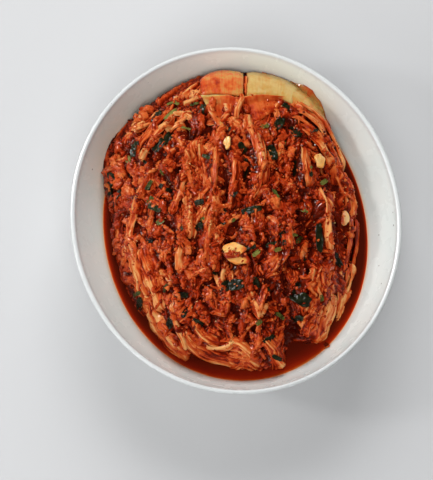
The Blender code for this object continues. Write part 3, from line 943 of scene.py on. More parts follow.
class KIMCHI_OT_broth(bpy.types.Operator):
    """Fill the well with broth, up to its level and a little up the wall"""
    bl_idname = "kimchi.broth"
    bl_label = "Broth"

    def execute(self, context):
        food = context.scene.kimchi_food
        climb = (BROTH_TOP - FLOOR_TOP) / (BOWL_HEIGHT - LIP_RADIUS - FLOOR_TOP)
        edge = FLAT_RADIUS + (RIM_RADIUS - LIP_RADIUS - FLAT_RADIUS) * climb ** (1 / WALL_CURVE)
        spans = 1.0 - (1.0 - np.linspace(0.0, 1.0, BROTH_RINGS)) ** 2.2
        reach = (edge + BROTH_INTO_WALL + 0.3 * MM) * spans
        rise = MENISCUS * np.exp((reach - edge) / MENISCUS_REACH)
        top = list(zip(reach.tolist(), (BROTH_TOP + rise).tolist()))
        below = [
            point for point in reversed(wall_profile(-BROTH_INTO_WALL, 24))
            if point[1] < BROTH_TOP
        ]
        form = turned(top + below + [(0.0, below[-1][1])], BOWL_STEPS)
        points = positions(form.verts)
        depth = np.maximum(0.0, BROTH_TOP + rise.max() - cavity_height(points[:, 0], points[:, 1]))
        angle = np.arctan2(points[:, 1], points[:, 0])
        dark = np.interp(np.degrees(angle), *np.array(BROTH_DARKNESS, float).T)
        piece = add_piece("chili_broth", form, broth_finish(food))
        set_value(piece.data, "depth", depth / DEPTH_SPAN * dark)
        belongs(piece, "broth", "broth")
        return {"FINISHED"}


# ---------------- heap

CORE_CELLS = 296
CORE_BASE = FLOOR_TOP + 2.0 * MM
CORE_BASE_SHARE = 0.40

# The heap rises under the leaves: how wide beside them, and how high
FOLD_WIDTH = 4.0 * MM
FOLD_RISE = 1.6 * MM

# Hollows between the folds, sunk and painted dark as painted shade: place, length, width, turn in
# degrees, depth
HOLLOWS = (
    ((-.25, .515), 16, 8, 20, 5), ((-.067, .131), 26, 4.5, 88, 5), ((-.378, .263), 30, 9, 70, 6),
    ((-.189, .242), 20, 4, 85, 3.5), ((-.453, -.375), 16, 8, 100, 5.5),
    ((.815, .09), 44, 8, 100, 6), ((.775, -.151), 22, 6, 95, 4), ((-.688, .451), 14, 6, 70, 5),
    ((-.659, .362), 12, 5, 70, 4), ((.165, -.53), 20, 6, 60, 4), ((.259, -.569), 18, 5, 100, 4),
    ((.406, -.817), 20, 9, 70, 5), ((.121, -.751), 14, 7, 20, 4), ((.376, -.414), 22, 7, 80, 4.5),
    ((.064, .245), 24, 4.5, 85, 4), ((-.396, .136), 16, 9, 80, 4), ((-.765, .316), 16, 6, 75, 5),
    ((.6, -.152), 30, 6, 88, 5), ((-.134, -.493), 14, 5, 100, 3), ((.45, .34), 20, 5, 80, 4.5),
    ((.35, .42), 14, 6, 70, 3.5), ((-.55, -.1), 14, 6, 80, 3), ((.53, .12), 18, 5, 85, 3.5),
    ((-.62, .58), 22, 5, 45, 4), ((-.3, .4), 12, 6, 60, 3.5), ((.55, -.42), 18, 6, 95, 4),
    ((.68, -.55), 20, 5, 110, 4), ((-.3, -.3), 12, 5, 80, 2.5), ((.02, -.66), 20, 7, 10, 2.5),
    ((.25, -.1), 16, 5, 110, 2.5),
)

# Leaves: node, path in heap units, width in mm, strands, height of the crest and of the
# buried edge in mm, where the crest lies across the strand, how pale it is, and its kind
LEAVES = (
    ("left_long_leaf", ((-.55, .32), (-.64, .21), (-.74, .11), (-.81, -.03), (-.82, -.15),
     (-.79, -.27), (-.76, -.36)), 7.5, 1, 4.4, .2, -.2, .6, "page"),
    ("left_fan_leaf", ((-.78, -.25), (-.74, -.36), (-.69, -.46), (-.65, -.55), (-.61, -.65),
     (-.55, -.73)), 15, 2, 4.2, 0, .1, .54, "bundle"),
    ("upper_left_leaf", ((-.4, .7), (-.49, .61), (-.55, .54), (-.6, .46), (-.64, .36)), 12, 2, 4.2,
     .2, -.3, .5, "page"),
    ("left_rib", ((-.28, .46), (-.31, .36), (-.34, .24), (-.39, .13), (-.46, .04), (-.5, -.02)), 7,
     1, 4.4, .2, -.2, .42, "rib"),
    ("left_rib_tip", ((-.4, -.2), (-.4, -.28), (-.41, -.36), (-.4, -.44)), 7, 1, 4.2, 0, .3, .62,
     "page"),
    ("middle_rib", ((-.11, .44), (-.13, .3), (-.14, .16), (-.17, .02), (-.2, -.1), (-.21, -.24),
     (-.2, -.38)), 6, 1, 4.4, .2, -.1, .4, "rib"),
    ("centre_rib", ((.01, .33), (0, .22), (-.02, .1), (-.05, 0)), 7, 1, 4.2, 0, .2, .34, "rib"),
    ("right_upper_rib", ((.09, .57), (.12, .48), (.16, .37), (.19, .26), (.2, .18)), 9, 1, 4.2, 0,
     .4, .44, "page"),
    ("right_rib", ((.48, .5), (.53, .4), (.57, .31), (.6, .22)), 9, 1, 4.2, 0, .3, .5, "page"),
    ("far_right_rib", ((.66, .22), (.69, .1), (.71, -.02), (.72, -.14), (.74, -.26), (.76, -.4)), 6,
     1, 4.2, .2, 0, .56, "page"),
    ("centre_right_strip", ((.4, -.04), (.42, -.14), (.41, -.24), (.36, -.32), (.29, -.37)), 5, 1,
     4.2, .5, 0, .18, "rib"),
    ("outer_page_a", ((.38, .76), (.46, .73), (.55, .7), (.64, .66), (.73, .6), (.8, .52),
     (.86, .41)), 8, 2, 4.6, 0, .4, .66, "page"),
    ("outer_page_b", ((.36, .7), (.45, .67), (.54, .64), (.63, .59), (.72, .52), (.79, .43),
     (.85, .31), (.91, .17), (.94, .03)), 8.5, 2, 4.6, 0, .4, .6, "page"),
    ("outer_low_page", ((.95, .06), (.96, -.1), (.94, -.24), (.9, -.37), (.84, -.46)), 10, 2, 3.8,
     -.5, .5, .46, "page"),
    ("right_edge_strip", ((.88, -.34), (.85, -.44), (.82, -.54), (.79, -.63), (.73, -.71)), 9, 2,
     4.2, .2, .3, .74, "page"),
    ("ruffled_leaf", ((.7, -.38), (.67, -.51), (.62, -.62), (.56, -.73), (.5, -.82)), 24, 1, 4.2,
     .4, .1, .56, "crinkled"),
    ("bottom_bundle", ((-.32, -.72), (-.27, -.81), (-.2, -.87), (-.09, -.91), (.03, -.92),
     (.12, -.96)), 14, 2, 4.4, 0, 0, .52, "bundle"),
    ("bottom_bundle_edge", ((-.34, -.8), (-.3, -.88), (-.22, -.94), (-.11, -.97), (.02, -.985)), 7,
     1, 3.8, 0, -.2, .56, "page"),
    ("bottom_tip", ((.18, -.79), (.23, -.84), (.27, -.9), (.3, -.97)), 12, 1, 4.2, .4, 0, .46,
     "bundle"),
    ("bottom_left_leaf", ((-.66, -.69), (-.58, -.77), (-.48, -.83), (-.38, -.89), (-.31, -.93)), 12,
     1, 4, 0, -.2, .62, "bundle"),
    ("bottom_left_rib", ((-.44, -.63), (-.4, -.71), (-.36, -.8), (-.32, -.89)), 5, 1, 5.6, 1, 0,
     .74, "page"),
    ("left_small_leaf", ((-.88, .06), (-.93, -.04), (-.95, -.14), (-.92, -.24)), 9, 1, 2.8, -2, -.2,
     .16, "bundle"),
)

# Folds of each kind of leaf: depth of the long creases and of the crinkles in mm, the
# distance between creases in mm, and how wavy its edges are
LEAF_FOLDS = {
    "rib": (0.7, 0.6, 2.6, 0.9), "page": (0.6, 0.3, 2.4, 0.4),
    "bundle": (1.5, 0.5, 2.1, 0.8), "crinkled": (0.6, 1.5, 2.6, 1.2),
}

# Torn strips of leaf among the paste: middle in heap units, length and width in mm,
# turn in degrees, how pale it is, and its kind
LEAF_STRIPS = (
    ((-.6, .66), 22, 7, 30, .5, "bundle"), ((-.33, .66), 16, 7, 40, .56, "page"),
    ((-.27, .3), 24, 7, 68, .34, "crinkled"), ((-.28, -.03), 22, 8, 62, .5, "crinkled"),
    ((-.2, .16), 20, 6, 75, .36, "rib"), ((-.36, .42), 18, 9, 75, .22, "crinkled"),
    ((-.22, .2), 20, 11, 80, .26, "crinkled"), ((-.66, .1), 14, 7, 70, .3, "crinkled"),
    ((.02, .12), 18, 7, 95, .3, "crinkled"), ((.16, .24), 16, 5, 68, .4, "rib"),
    ((.28, .42), 14, 6, 100, .44, "rib"), ((.26, .65), 16, 6, 95, .4, "page"),
    ((.33, .06), 22, 8, 80, .34, "crinkled"), ((.47, .2), 24, 8, 84, .36, "crinkled"),
    ((.54, -.3), 22, 9, 78, .44, "crinkled"), ((.46, -.22), 20, 7, 95, .24, "crinkled"),
    ((.24, -.36), 26, 8, 80, .26, "crinkled"), ((.14, -.62), 18, 7, -65, .54, "page"),
    ((.3, -.66), 20, 9, 80, .24, "crinkled"), ((-.05, -.58), 20, 9, 20, .2, "crinkled"),
    ((-.3, -.52), 20, 8, 110, .3, "crinkled"), ((-.52, -.3), 22, 9, 105, .24, "crinkled"),
    ((-.1, -.7), 18, 7, 5, .34, "bundle"), ((.4, -.48), 20, 7, 80, .28, "crinkled"),
    ((-.08, .6), 18, 8, 30, .4, "crinkled"), ((.08, .58), 16, 8, 70, .6, "page"),
    ((-.13, .6), 14, 8, -20, .62, "page"), ((.72, .36), 18, 6, 120, .46, "rib"),
    ((.8, .14), 20, 8, 105, .34, "bundle"), ((.76, -.12), 26, 7, 95, .26, "bundle"),
    ((.58, .04), 20, 6, 90, .28, "rib"), ((-.84, .34), 16, 8, 70, .46, "crinkled"),
    ((-.9, .1), 18, 7, 80, .36, "crinkled"), ((-.72, .54), 16, 7, 50, .44, "crinkled"),
    ((-.66, -.12), 16, 6, -40, .36, "rib"), ((-.56, .16), 18, 8, 70, .22, "crinkled"),
    ((.3, .24), 18, 6, 80, .3, "rib"), ((.64, .58), 18, 7, 130, .4, "crinkled"),
    ((-.16, -.16), 18, 7, 95, .32, "crinkled"), ((-.04, -.06), 16, 5, 40, .4, "rib"),
    ((-.17, -.02), 26, 6, 70, .5, "page"), ((.62, .56), 40, 5, 142, .48, "page"),
    ((-.1, -.885), 24, 3.2, 4, .84, "page"), ((.05, -.94), 26, 11, 172, .5, "bundle"),
    ((-.85, -.47), 18, 4, 117, .36, "page"), ((.26, -.9), 16, 6, 115, .58, "page"),
    ((.5, -.72), 24, 8, 78, .4, "crinkled"), ((-.49, .5), 20, 5, 58, .62, "page"),
    ((-.44, .6), 18, 5, 52, .56, "page"), ((.4, .3), 20, 6, 84, .34, "crinkled"),
    ((.05, -.32), 18, 6, 75, .26, "crinkled"), ((.26, -.16), 20, 7, 100, .24, "crinkled"),
    ((.14, .08), 18, 6, 60, .38, "rib"), ((-.02, .46), 18, 6, 80, .36, "page"),
    ((.22, .34), 20, 6, 78, .4, "page"), ((.82, -.26), 38, 12, 99, .26, "crinkled"),
    ((.87, -.04), 30, 9, 92, .22, "bundle"), ((.78, -.52), 26, 11, 108, .3, "crinkled"),
    ((.88, .16), 26, 9, 82, .26, "bundle"),
)


# Longer pieces of leaf that show: path in heap units, width in mm, how pale, and kind
SHOWN_LEAVES = (
    (((-.685, .623), (-.632, .678), (-.578, .726)), 4, .9, "page"),
    (((-.432, .781), (-.384, .803), (-.336, .825)), 4.4, .88, "page"),
    (((-.336, .792), (-.289, .847), (-.229, .905)), 7.2, .5, "crinkled"),
    (((-.4, .76), (-.35, .815), (-.3, .88)), 6, .42, "crinkled"),
    (((-.288, .782), (-.248, .821), (-.196, .757)), 4.8, .88, "page"),
    (((-.79, .469), (-.774, .495), (-.752, .527)), 3.6, .95, "page"),
    (((-.845, .386), (-.812, .425), (-.799, .457)), 5.6, .58, "crinkled"),
    (((-.404, .658), (-.343, .677), (-.276, .637)), 5.6, .85, "page"),
    (((-.629, .364), (-.598, .387), (-.564, .425)), 4.8, .9, "page"),
    (((-.452, .56), (-.391, .589), (-.323, .608)), 4.8, .62, "page"),
    (((-.43, .398), (-.378, .438), (-.324, .482)), 5.6, .48, "rib"),
    (((-.237, .486), (-.226, .37), (-.209, .256), (-.204, .136)), 15, .38, "crinkled"),
    (((.128, .516), (.153, .41), (.17, .259)), 7.2, .56, "page"),
    (((-.081, -.33), (-.027, -.325), (.032, -.32)), 6.4, .16, "crinkled"),
    (((-.139, .095), (-.131, .038), (-.153, -.03)), 5.6, .66, "page"),
    (((-.312, .111), (-.35, -.009), (-.343, -.223)), 11, .54, "page"),
    (((-.445, -.107), (-.401, -.223), (-.369, -.293)), 6.4, .28, "crinkled"),
    (((-.696, -.2), (-.66, -.324), (-.58, -.438), (-.536, -.563)), 6.4, .4, "rib"),
    (((-.6, .1), (-.674, -.008), (-.691, -.123)), 5.6, .36, "rib"),
    (((-.56, .327), (-.582, .233), (-.647, .141)), 6.4, .4, "rib"),
    (((-.315, .796), (-.275, .835), (-.236, .869), (-.203, .919)), 9, .62, "crinkled"),
    (((-.248, .773), (-.222, .816), (-.19, .871)), 5.6, .74, "page"),
    (((-.343, .746), (-.288, .766), (-.222, .784)), 5, .66, "page"),
    (((-.203, .813), (-.177, .77), (-.158, .692), (-.139, .611)), 5, .8, "page"),
    (((-.452, .737), (-.404, .775), (-.35, .804)), 4.6, .9, "page"),
    (((-.676, .571), (-.643, .621), (-.597, .67)), 4.6, .8, "page"),
    (((-.563, .679), (-.522, .72), (-.473, .75)), 4.6, .62, "crinkled"),
    (((-.829, .476), (-.789, .515), (-.754, .561)), 5, .5, "crinkled"),
    (((.43, .62), (.52, .59), (.61, .55), (.69, .49), (.75, .41), (.81, .28)), 6.4, .66, "page"),
    (((.85, .38), (.9, .26), (.93, .13), (.94, 0)), 5.6, .66, "page"),
    (((.69, .21), (.72, .08), (.72, -.07), (.72, -.2), (.75, -.32)), 6.4, .74, "page"),
    (((-.21, -.88), (-.14, -.89), (-.07, -.88), (0, -.84)), 3.6, .92, "page"),
    (((-.07, -.93), (.02, -.93), (.09, -.93), (.16, -.98)), 8, .6, "bundle"),
    (((.861, -.491), (.817, -.587), (.767, -.683), (.736, -.744)), 7, .74, "page"),
    (((.933, -.316), (.902, -.446), (.829, -.574)), 7, .6, "page"),
    (((.707, -.545), (.663, -.633), (.608, -.716), (.556, -.811)), 8, .74, "page"),
    (((.063, .772), (.062, .831), (.066, .894), (.068, .949)), 4, .16, "page"),
)


def folds_under_leaves(x, y):
    """Rise of the heap under its leaves, from 0 to 1, at many places."""
    rise = np.zeros_like(x)
    for _, path, width, *_ in LEAVES:
        line = np.array(path)
        px, py = heap_place(*curve_points(line, np.linspace(0, 1, 5 * len(path))).T)
        reach = FOLD_WIDTH + 0.4 * MM * width
        for x0, y0, x1, y1 in zip(px, py, px[1:], py[1:]):
            dx, dy = x1 - x0, y1 - y0
            near = (np.abs(x - x0) < 4 * reach) & (np.abs(y - y0) < 4 * reach)
            xs, ys = x[near] - x0, y[near] - y0
            t = np.clip((xs * dx + ys * dy) / (dx * dx + dy * dy), 0.0, 1.0)
            away = np.hypot(xs - t * dx, ys - t * dy) / reach
            rise[near] = np.maximum(rise[near], np.exp(-away ** 2))
    return rise


def hollows_between(x, y):
    """Depth of the dark hollows at many places, in metres."""
    depth = np.zeros_like(x)
    for place, length, width, turn, deep in HOLLOWS:
        x0, y0 = heap_place(*np.array(place))
        turn = math.radians(turn)
        run = (x - x0) * math.cos(turn) + (y - y0) * math.sin(turn)
        side = (y - y0) * math.cos(turn) - (x - x0) * math.sin(turn)
        away = (2.0 * run / (length * MM)) ** 2 + (2.0 * side / (width * MM)) ** 2
        depth = np.maximum(depth, deep * MM * np.exp(-away ** 1.5))
    return depth


def cells(points, seed):
    """Cells one unit across: the gap to the next cell, and a number for each cell."""
    gaps, numbers = [], []
    for point in (points + 3.17 * seed).tolist():
        distances, middles = noise.voronoi(point)
        gaps.append(distances[1] - distances[0])
        middle = middles[0]
        numbers.append(math.sin(middle.x * 127.1 + middle.y * 311.7 + middle.z * 74.7) * 43758.5)
    return np.array(gaps), np.mod(numbers, 1.0)


def heap_relief(food, x, y, points):
    """How far the paste and folds stand off the smooth heap, and how light they look: painted light
    on the crests and painted shade in the gaps and hollows.
    """
    across, along = heap_units(x, y)
    half = np.sqrt(np.maximum(0.02, 1.0 - np.minimum(1.0, along ** 2)))
    turn = np.arccos(np.clip(across / half, -1.0, 1.0))
    sway = noise_at(points, 14 * MM, 21)
    sway_back = noise_at(points, 11 * MM, 22)
    flow = np.column_stack([
        66 * MM * turn + 3.5 * MM * sway, 28 * MM * along + 2.5 * MM * sway_back, 0 * turn])
    folds = puffs(flow, 11 * MM, 1)
    gap, number = cells(flow * (1.0, 1.9, 1.0) / (9.0 * MM), 2)
    small_gap, small_number = cells(flow * (1.0, 2.6, 1.0) / (4.6 * MM), 5)
    chunk = smooth_step(0.0, 0.42, gap) * (0.45 + 0.55 * number)
    bit = smooth_step(0.0, 0.40, small_gap) * (0.5 + 0.5 * small_number)
    lumps = puffs(points, 4.2 * MM, 3)
    beads = puffs(points, 2.5 * MM, 4)
    grains = noise_at(points, 1.8 * MM, 5)
    under_leaf = folds_under_leaves(x, y)
    hollow = hollows_between(x, y)
    rise = (
        food.fold_depth * (folds - 0.6) + food.chunk_depth * (chunk - 0.55)
        + 0.5 * food.chunk_depth * (bit - 0.6) + food.lump_depth * (lumps - 0.5)
        + 0.5 * food.lump_depth * (beads - 0.5) + food.grain_depth * grains
    )
    rise = rise * (1.0 - 0.5 * under_leaf) + FOLD_RISE * under_leaf - hollow
    # Crests are painted light and gaps and hollows dark: painted light and shade, with a random
    # tone for each chunk
    light = (
        -0.08 + 0.10 * folds + 0.45 * chunk + 0.24 * bit + 0.12 * lumps + 0.12 * beads
        + 0.08 * grains + 0.10 * number + 0.04 * under_leaf - hollow / (5 * MM)
    )
    return rise, np.clip(light, 0.0, 1.0)


class KIMCHI_OT_heap(bpy.types.Operator):
    """Shape the heap: folds of leaf, lumps of paste and dark hollows"""
    bl_idname = "kimchi.heap"
    bl_label = "Heap"

    def execute(self, context):
        food = context.scene.kimchi_food
        form = bmesh.new()
        bmesh.ops.create_grid(form, x_segments=CORE_CELLS, y_segments=CORE_CELLS, size=1.0)
        border = [edge for edge in form.edges if edge.is_boundary]
        bottom = bmesh.ops.extrude_edge_only(form, edges=border)["geom"]
        low = [item for item in bottom if isinstance(item, bmesh.types.BMVert)]
        bmesh.ops.translate(form, verts=low, vec=(0, 0, -1))
        bmesh.ops.edgeloop_fill(
            form, edges=[edge for edge in form.edges if edge.is_boundary])
        square = positions(form.verts)
        across = square[:, 0] * np.sqrt(1.0 - 0.5 * square[:, 1] ** 2)
        along = square[:, 1] * np.sqrt(1.0 - 0.5 * square[:, 0] ** 2)
        x, y = heap_place(across, along)
        base, normal = surface(x, y)
        rise, light = heap_relief(food, x, y, base)
        reach = np.hypot(across, along)
        rise *= 1.0 - 0.75 * smooth_step(0.93, 1.0, reach)
        points = base + normal * rise[:, None]
        lower = square[:, 2] < -0.5
        points[lower] = np.column_stack([
            CORE_BASE_SHARE * x, CORE_BASE_SHARE * y, np.full(len(x), CORE_BASE)])[lower]
        move_to(form.verts, points)
        bmesh.ops.recalc_face_normals(form, faces=form.faces[:])
        piece = add_piece("heap_core", form, paste_finish(food, "chili_paste", 0.0))
        set_value(piece.data, "light", light)
        belongs(piece, "chili_heap", "kimchi_heap")
        return {"FINISHED"}


# ---------------- leaves and stems

LEAF_CELL = 0.9 * MM
LEAF_CELL_ACROSS = 0.55 * MM
LEAF_THICKNESS = 0.8 * MM
# Heights of the crest and of the buried edge over the ground, of long strands and strips
LONG_HEIGHTS = (2.8 * MM, -0.4 * MM)
STRIP_HEIGHTS = (1.9 * MM, -0.9 * MM)
# How far out the torn strips reach, in heap units
STRIP_EDGE = 0.985
# Heap units to a metre, for strands that lie beside each other
PATH_PER_METRE = 1.0 / 0.105


def draped(ground, line, width, along, side):
    """Lift of the ground under a strand, smoothed as a limp leaf would lie on it."""
    stations = np.linspace(0.0, 1.0, 11)
    centre = np.column_stack(heap_place(*curve_points(line, stations).T))
    run = np.gradient(centre, axis=0)
    run /= np.linalg.norm(run, axis=1)[:, None]
    columns = []
    for share in (-0.35, 0.0, 0.35):
        spots = centre + share * width * np.column_stack([run[:, 1], -run[:, 0]])
        lifts, _ = ground.land(spots[:, 0], spots[:, 1])
        lifts = np.clip(lifts, -4 * MM, 6 * MM)
        padded = np.pad(lifts, 1, mode="edge")
        columns.append(0.25 * padded[:-2] + 0.5 * padded[1:-1] + 0.25 * padded[2:])
    left, middle, right = (np.interp(along, stations, column) for column in columns)
    outward = np.minimum(1.0, np.abs(side) / 0.7)
    return middle + (np.where(side < 0.0, left, right) - middle) * outward


def lay_out(form, verts, width, length, seed):
    """Give a new flat grid UVs in metres, so that veins keep their size."""
    layer = form.loops.layers.uv["UVMap"]
    for vert in verts:
        place = (0.5 * width * vert.co.x + 0.1 * seed, 0.5 * length * (vert.co.y + 1.0))
        for loop in vert.link_loops:
            loop[layer].uv = place


def add_strand(
        form, layer, path, width, high, low, crest, pale, kind, seed, ends_length=0.12,
        ground=None):
    """One limp strand of leaf: a strip along a path, its crest up and its edges buried."""
    start = len(form.verts)
    line = np.array(path)
    stations = curve_points(line, np.linspace(0, 1, 60))
    length = np.hypot(*np.diff(np.column_stack(heap_place(*stations.T)), axis=0).T).sum()
    rows = max(10, round(length / LEAF_CELL))
    columns = max(8, round(1.15 * width / LEAF_CELL_ACROSS))
    bmesh.ops.create_grid(
        form, x_segments=columns, y_segments=rows, size=1.0, calc_uvs=True)
    form.verts.ensure_lookup_table()
    verts = form.verts[start:]
    spots = positions(verts)
    lay_out(form, verts, width, length, seed)
    side, along = spots[:, 0], 0.5 * (spots[:, 1] + 1.0)
    run, zero = along * length, 0.0 * along
    torn = 0.05 * noise_at(np.column_stack([9 * MM * side, zero, zero]), 2.5 * MM, seed + 0.9)
    reach_along = np.clip(along + torn * (2.0 * along - 1.0), 0.0, 1.0)
    ends = smooth_step(0.0, ends_length, along) * smooth_step(0.0, ends_length, 1.0 - along)
    centre = np.column_stack(heap_place(*curve_points(line, reach_along).T))
    ahead = np.column_stack(heap_place(*curve_points(line, np.minimum(1.0, along + 0.02)).T))
    behind = np.column_stack(heap_place(*curve_points(line, np.maximum(0.0, along - 0.02)).T))
    heading = ahead - behind
    heading /= np.linalg.norm(heading, axis=1)[:, None]
    edge_wave = noise_at(np.column_stack([run, 9 * MM * np.sign(side), zero]), 7 * MM, seed)
    edge_wave += 0.5 * noise_at(np.column_stack([run, 5 * MM * side, zero]), 2.5 * MM, seed)
    sway = noise_at(np.column_stack([run, zero, zero]), 22 * MM, seed + 0.5)
    crease_depth, crinkle_depth, spacing, waviness = LEAF_FOLDS[kind]
    reach = 0.5 * width * (0.6 + 0.4 * ends) * side * (1.0 + 0.40 * waviness * edge_wave)
    reach += 0.22 * width * waviness * sway
    x = centre[:, 0] + heading[:, 1] * reach
    y = centre[:, 1] - heading[:, 0] * reach
    fall = np.abs(side - crest) / (1.0 + abs(crest))
    shape = 1.0 - fall ** 2.4
    across = 0.5 * width * side
    drift = 1.2 * MM * noise_at(np.column_stack([run, across, zero]), 12 * MM, seed + 0.3)
    creases = puffs(np.column_stack([across + drift, 0.10 * run, zero]), spacing * MM, seed + 0.2)
    crinkles = puffs(np.column_stack([across, 0.6 * run, zero]), 2.8 * MM, seed + 0.4)
    humps = noise_at(np.column_stack([0.6 * across, run, zero]), 10 * MM, seed + 0.7)
    lift = low + (high - low) * shape * (0.35 + 0.65 * ends)
    lift += MM * (crease_depth * (creases - 0.7) + crinkle_depth * (crinkles - 0.6) + 1.2 * humps)
    lift -= 1.8 * MM * (1.0 - ends)
    if ground is not None:
        lift += draped(ground, line, width, along, side)
    points, _ = surface(x, y, lift)
    move_to(verts, points)
    # Crests and humps are painted lighter and creases darker: painted light and shade on top of the
    # leaf's own paleness
    shade = pale + 0.14 * (shape - 0.6) + 0.18 * humps
    shade += 0.28 * min(1.0, crease_depth) * (creases - 0.7)
    shade += 0.30 * min(1.0, crinkle_depth) * (crinkles - 0.6)
    for vert, number in zip(verts, shade.tolist()):
        vert[layer] = number


def leaf_form():
    """An empty form for strands, with the layers they fill."""
    form = bmesh.new()
    form.loops.layers.uv.new("UVMap")
    return form, form.verts.layers.float.new("pale")


def finish_leaf(name, form, material):
    """Turn strands into a thin solid leaf."""
    for face in form.faces:
        if face.normal.z < -0.2:
            face.normal_flip()
    return thicken(add_piece(name, form, material), LEAF_THICKNESS)


def add_leaf(name, path, width, strands, high, low, crest, pale, kind, material, number):
    """A leaf of one or more strands, which lie beside and over each other."""
    form, layer = leaf_form()
    picks = np.random.default_rng(100 + number)
    line = np.array(path)
    heading = np.gradient(line, axis=0)
    heading /= np.linalg.norm(heading, axis=1)[:, None]
    aside = np.column_stack([heading[:, 1], -heading[:, 0]])
    for strand in range(strands):
        offset = strand / (strands - 1) - 0.5 if strands > 1 else 0.0
        moved = line + aside * offset * 0.55 * width * MM * PATH_PER_METRE
        moved += picks.normal(0.0, 0.003, moved.shape)
        share = 1.0 if strands == 1 else 0.62
        add_strand(
            form, layer, moved, width * share * MM, (high - 0.8 * strand) * MM, low * MM,
            crest, pale + picks.uniform(-0.05, 0.05), kind, 10.0 * number + strand)
    return finish_leaf(name, form, material)


class KIMCHI_OT_leaves(bpy.types.Operator):
    """Lay the leaves and ribs that run from root to tips"""
    bl_idname = "kimchi.leaves"
    bl_label = "Leaves"

    def execute(self, context):
        material = leaf_finish(context.scene.kimchi_food)
        for number, (node, *shape) in enumerate(LEAVES):
            leaf = add_leaf("wet_" + node, *shape, material, number)
            belongs(leaf, "leaf", node)
        return {"FINISHED"}


class KIMCHI_OT_leaf_strips(bpy.types.Operator):
    """Lay torn strips of leaf among the paste"""
    bl_idname = "kimchi.leaf_strips"
    bl_label = "Torn leaf strips"

    def execute(self, context):
        food = context.scene.kimchi_food
        material = bpy.data.materials["cabbage_leaf"]
        ground = Ground(["heap_core"] + ["wet_" + leaf[0] for leaf in LEAVES])
        picks = np.random.default_rng(31)
        strips = list(LEAF_STRIPS)
        for a, b in zip(*random_places(picks, food.leaf_shreds, 0.92)):
            if picks.uniform() > bare_share(a, b):
                continue
            turn = math.degrees(flow_turn(a, b)) + picks.normal(0.0, 30.0)
            strips.append((
                (a, b), picks.uniform(9, 20), picks.uniform(4.5, 9), turn, picks.normal(0.30, 0.13),
                str(picks.choice(("crinkled", "page", "page", "bundle")))))
        form, layer = leaf_form()
        for number, (path, width, pale, kind) in enumerate(SHOWN_LEAVES):
            add_strand(
                form, layer, path, width * MM, *LONG_HEIGHTS, 0.3 * math.sin(3.0 * number),
                pale, kind, 400.0 + number, 0.18, ground)
        belongs(finish_leaf("long_leaf_strands", form, material), "leaf")
        shown = len(LEAF_STRIPS)
        self.lay_strips("torn_leaf_strips", strips[:shown], 0, material, ground)
        self.lay_strips("leaf_shreds", strips[shown:], shown, material, ground)
        return {"FINISHED"}

    def lay_strips(self, name, strips, first, material, ground):
        """Lay short strips, numbered from the first, as one piece."""
        form, layer = leaf_form()
        for number, (place, length, width, turn, pale, kind) in enumerate(strips, first):
            x, y = heap_place(*np.array(place))
            turn = math.radians(turn)
            steps = np.linspace(-0.5, 0.5, 5) * length * MM
            bend = 0.08 * np.sin(3.0 * np.linspace(-1, 1, 5) + number) * length * MM
            xs = x + math.cos(turn) * steps - math.sin(turn) * bend
            ys = y + math.sin(turn) * steps + math.cos(turn) * bend
            path = np.column_stack(heap_units(xs, ys))
            path *= np.minimum(1.0, STRIP_EDGE / np.hypot(*path.T))[:, None]
            add_strand(
                form, layer, path, width * MM, *STRIP_HEIGHTS, 0.4 * math.sin(2.0 * number),
                pale, kind, 500.0 + number, 0.2, ground)
        belongs(finish_leaf(name, form, material), "leaf")


def add_sheet(name, near, far, rows, lift, stain, material, seed, thick):
    """A thick sheet between two curves, given in mm as the points along each."""
    form = bmesh.new()
    form.loops.layers.uv.new("UVMap")
    bmesh.ops.create_grid(form, x_segments=rows[0], y_segments=rows[1], size=1.0, calc_uvs=True)
    spots = positions(form.verts)
    u, v = 0.5 * (spots[:, 0] + 1.0), 0.5 * (spots[:, 1] + 1.0)
    near_line, far_line = curve_points(near, u), curve_points(far, u)
    flat = MM * (near_line * (1.0 - v)[:, None] + far_line * v[:, None])
    edge = noise_at(np.column_stack([flat, 0 * u]), 7 * MM, seed)
    flat += (0.7 * MM * edge)[:, None]
    inside = (1.0 - np.abs(spots[:, 0]) ** 8) * (1.0 - np.abs(spots[:, 1]) ** 8)
    waves = noise_at(np.column_stack([flat, 0 * u]), 14 * MM, seed + 0.4)
    ribs = noise_at(np.column_stack([u * 0.05, v * 0.008, 0 * u]), 2.6 * MM, seed + 0.6)
    points, _ = surface(
        flat[:, 0], flat[:, 1],
        lift(u, v) - 2.0 * MM * (1.0 - inside) + 0.7 * MM * waves + 0.25 * MM * ribs)
    move_to(form.verts, points)
    if sum(face.normal.z for face in form.faces) < 0.0:
        bmesh.ops.reverse_faces(form, faces=form.faces[:])
    sheet = add_piece(name, form, material)
    set_value(sheet.data, "stain", stain(u, v))
    return thicken(sheet, thick)


def spot(u, v, middle, size):
    """1 at a place on a sheet and 0 beyond a size around it."""
    away = ((u - middle[0]) / size[0]) ** 2 + ((v - middle[1]) / size[1]) ** 2
    return np.exp(-away)


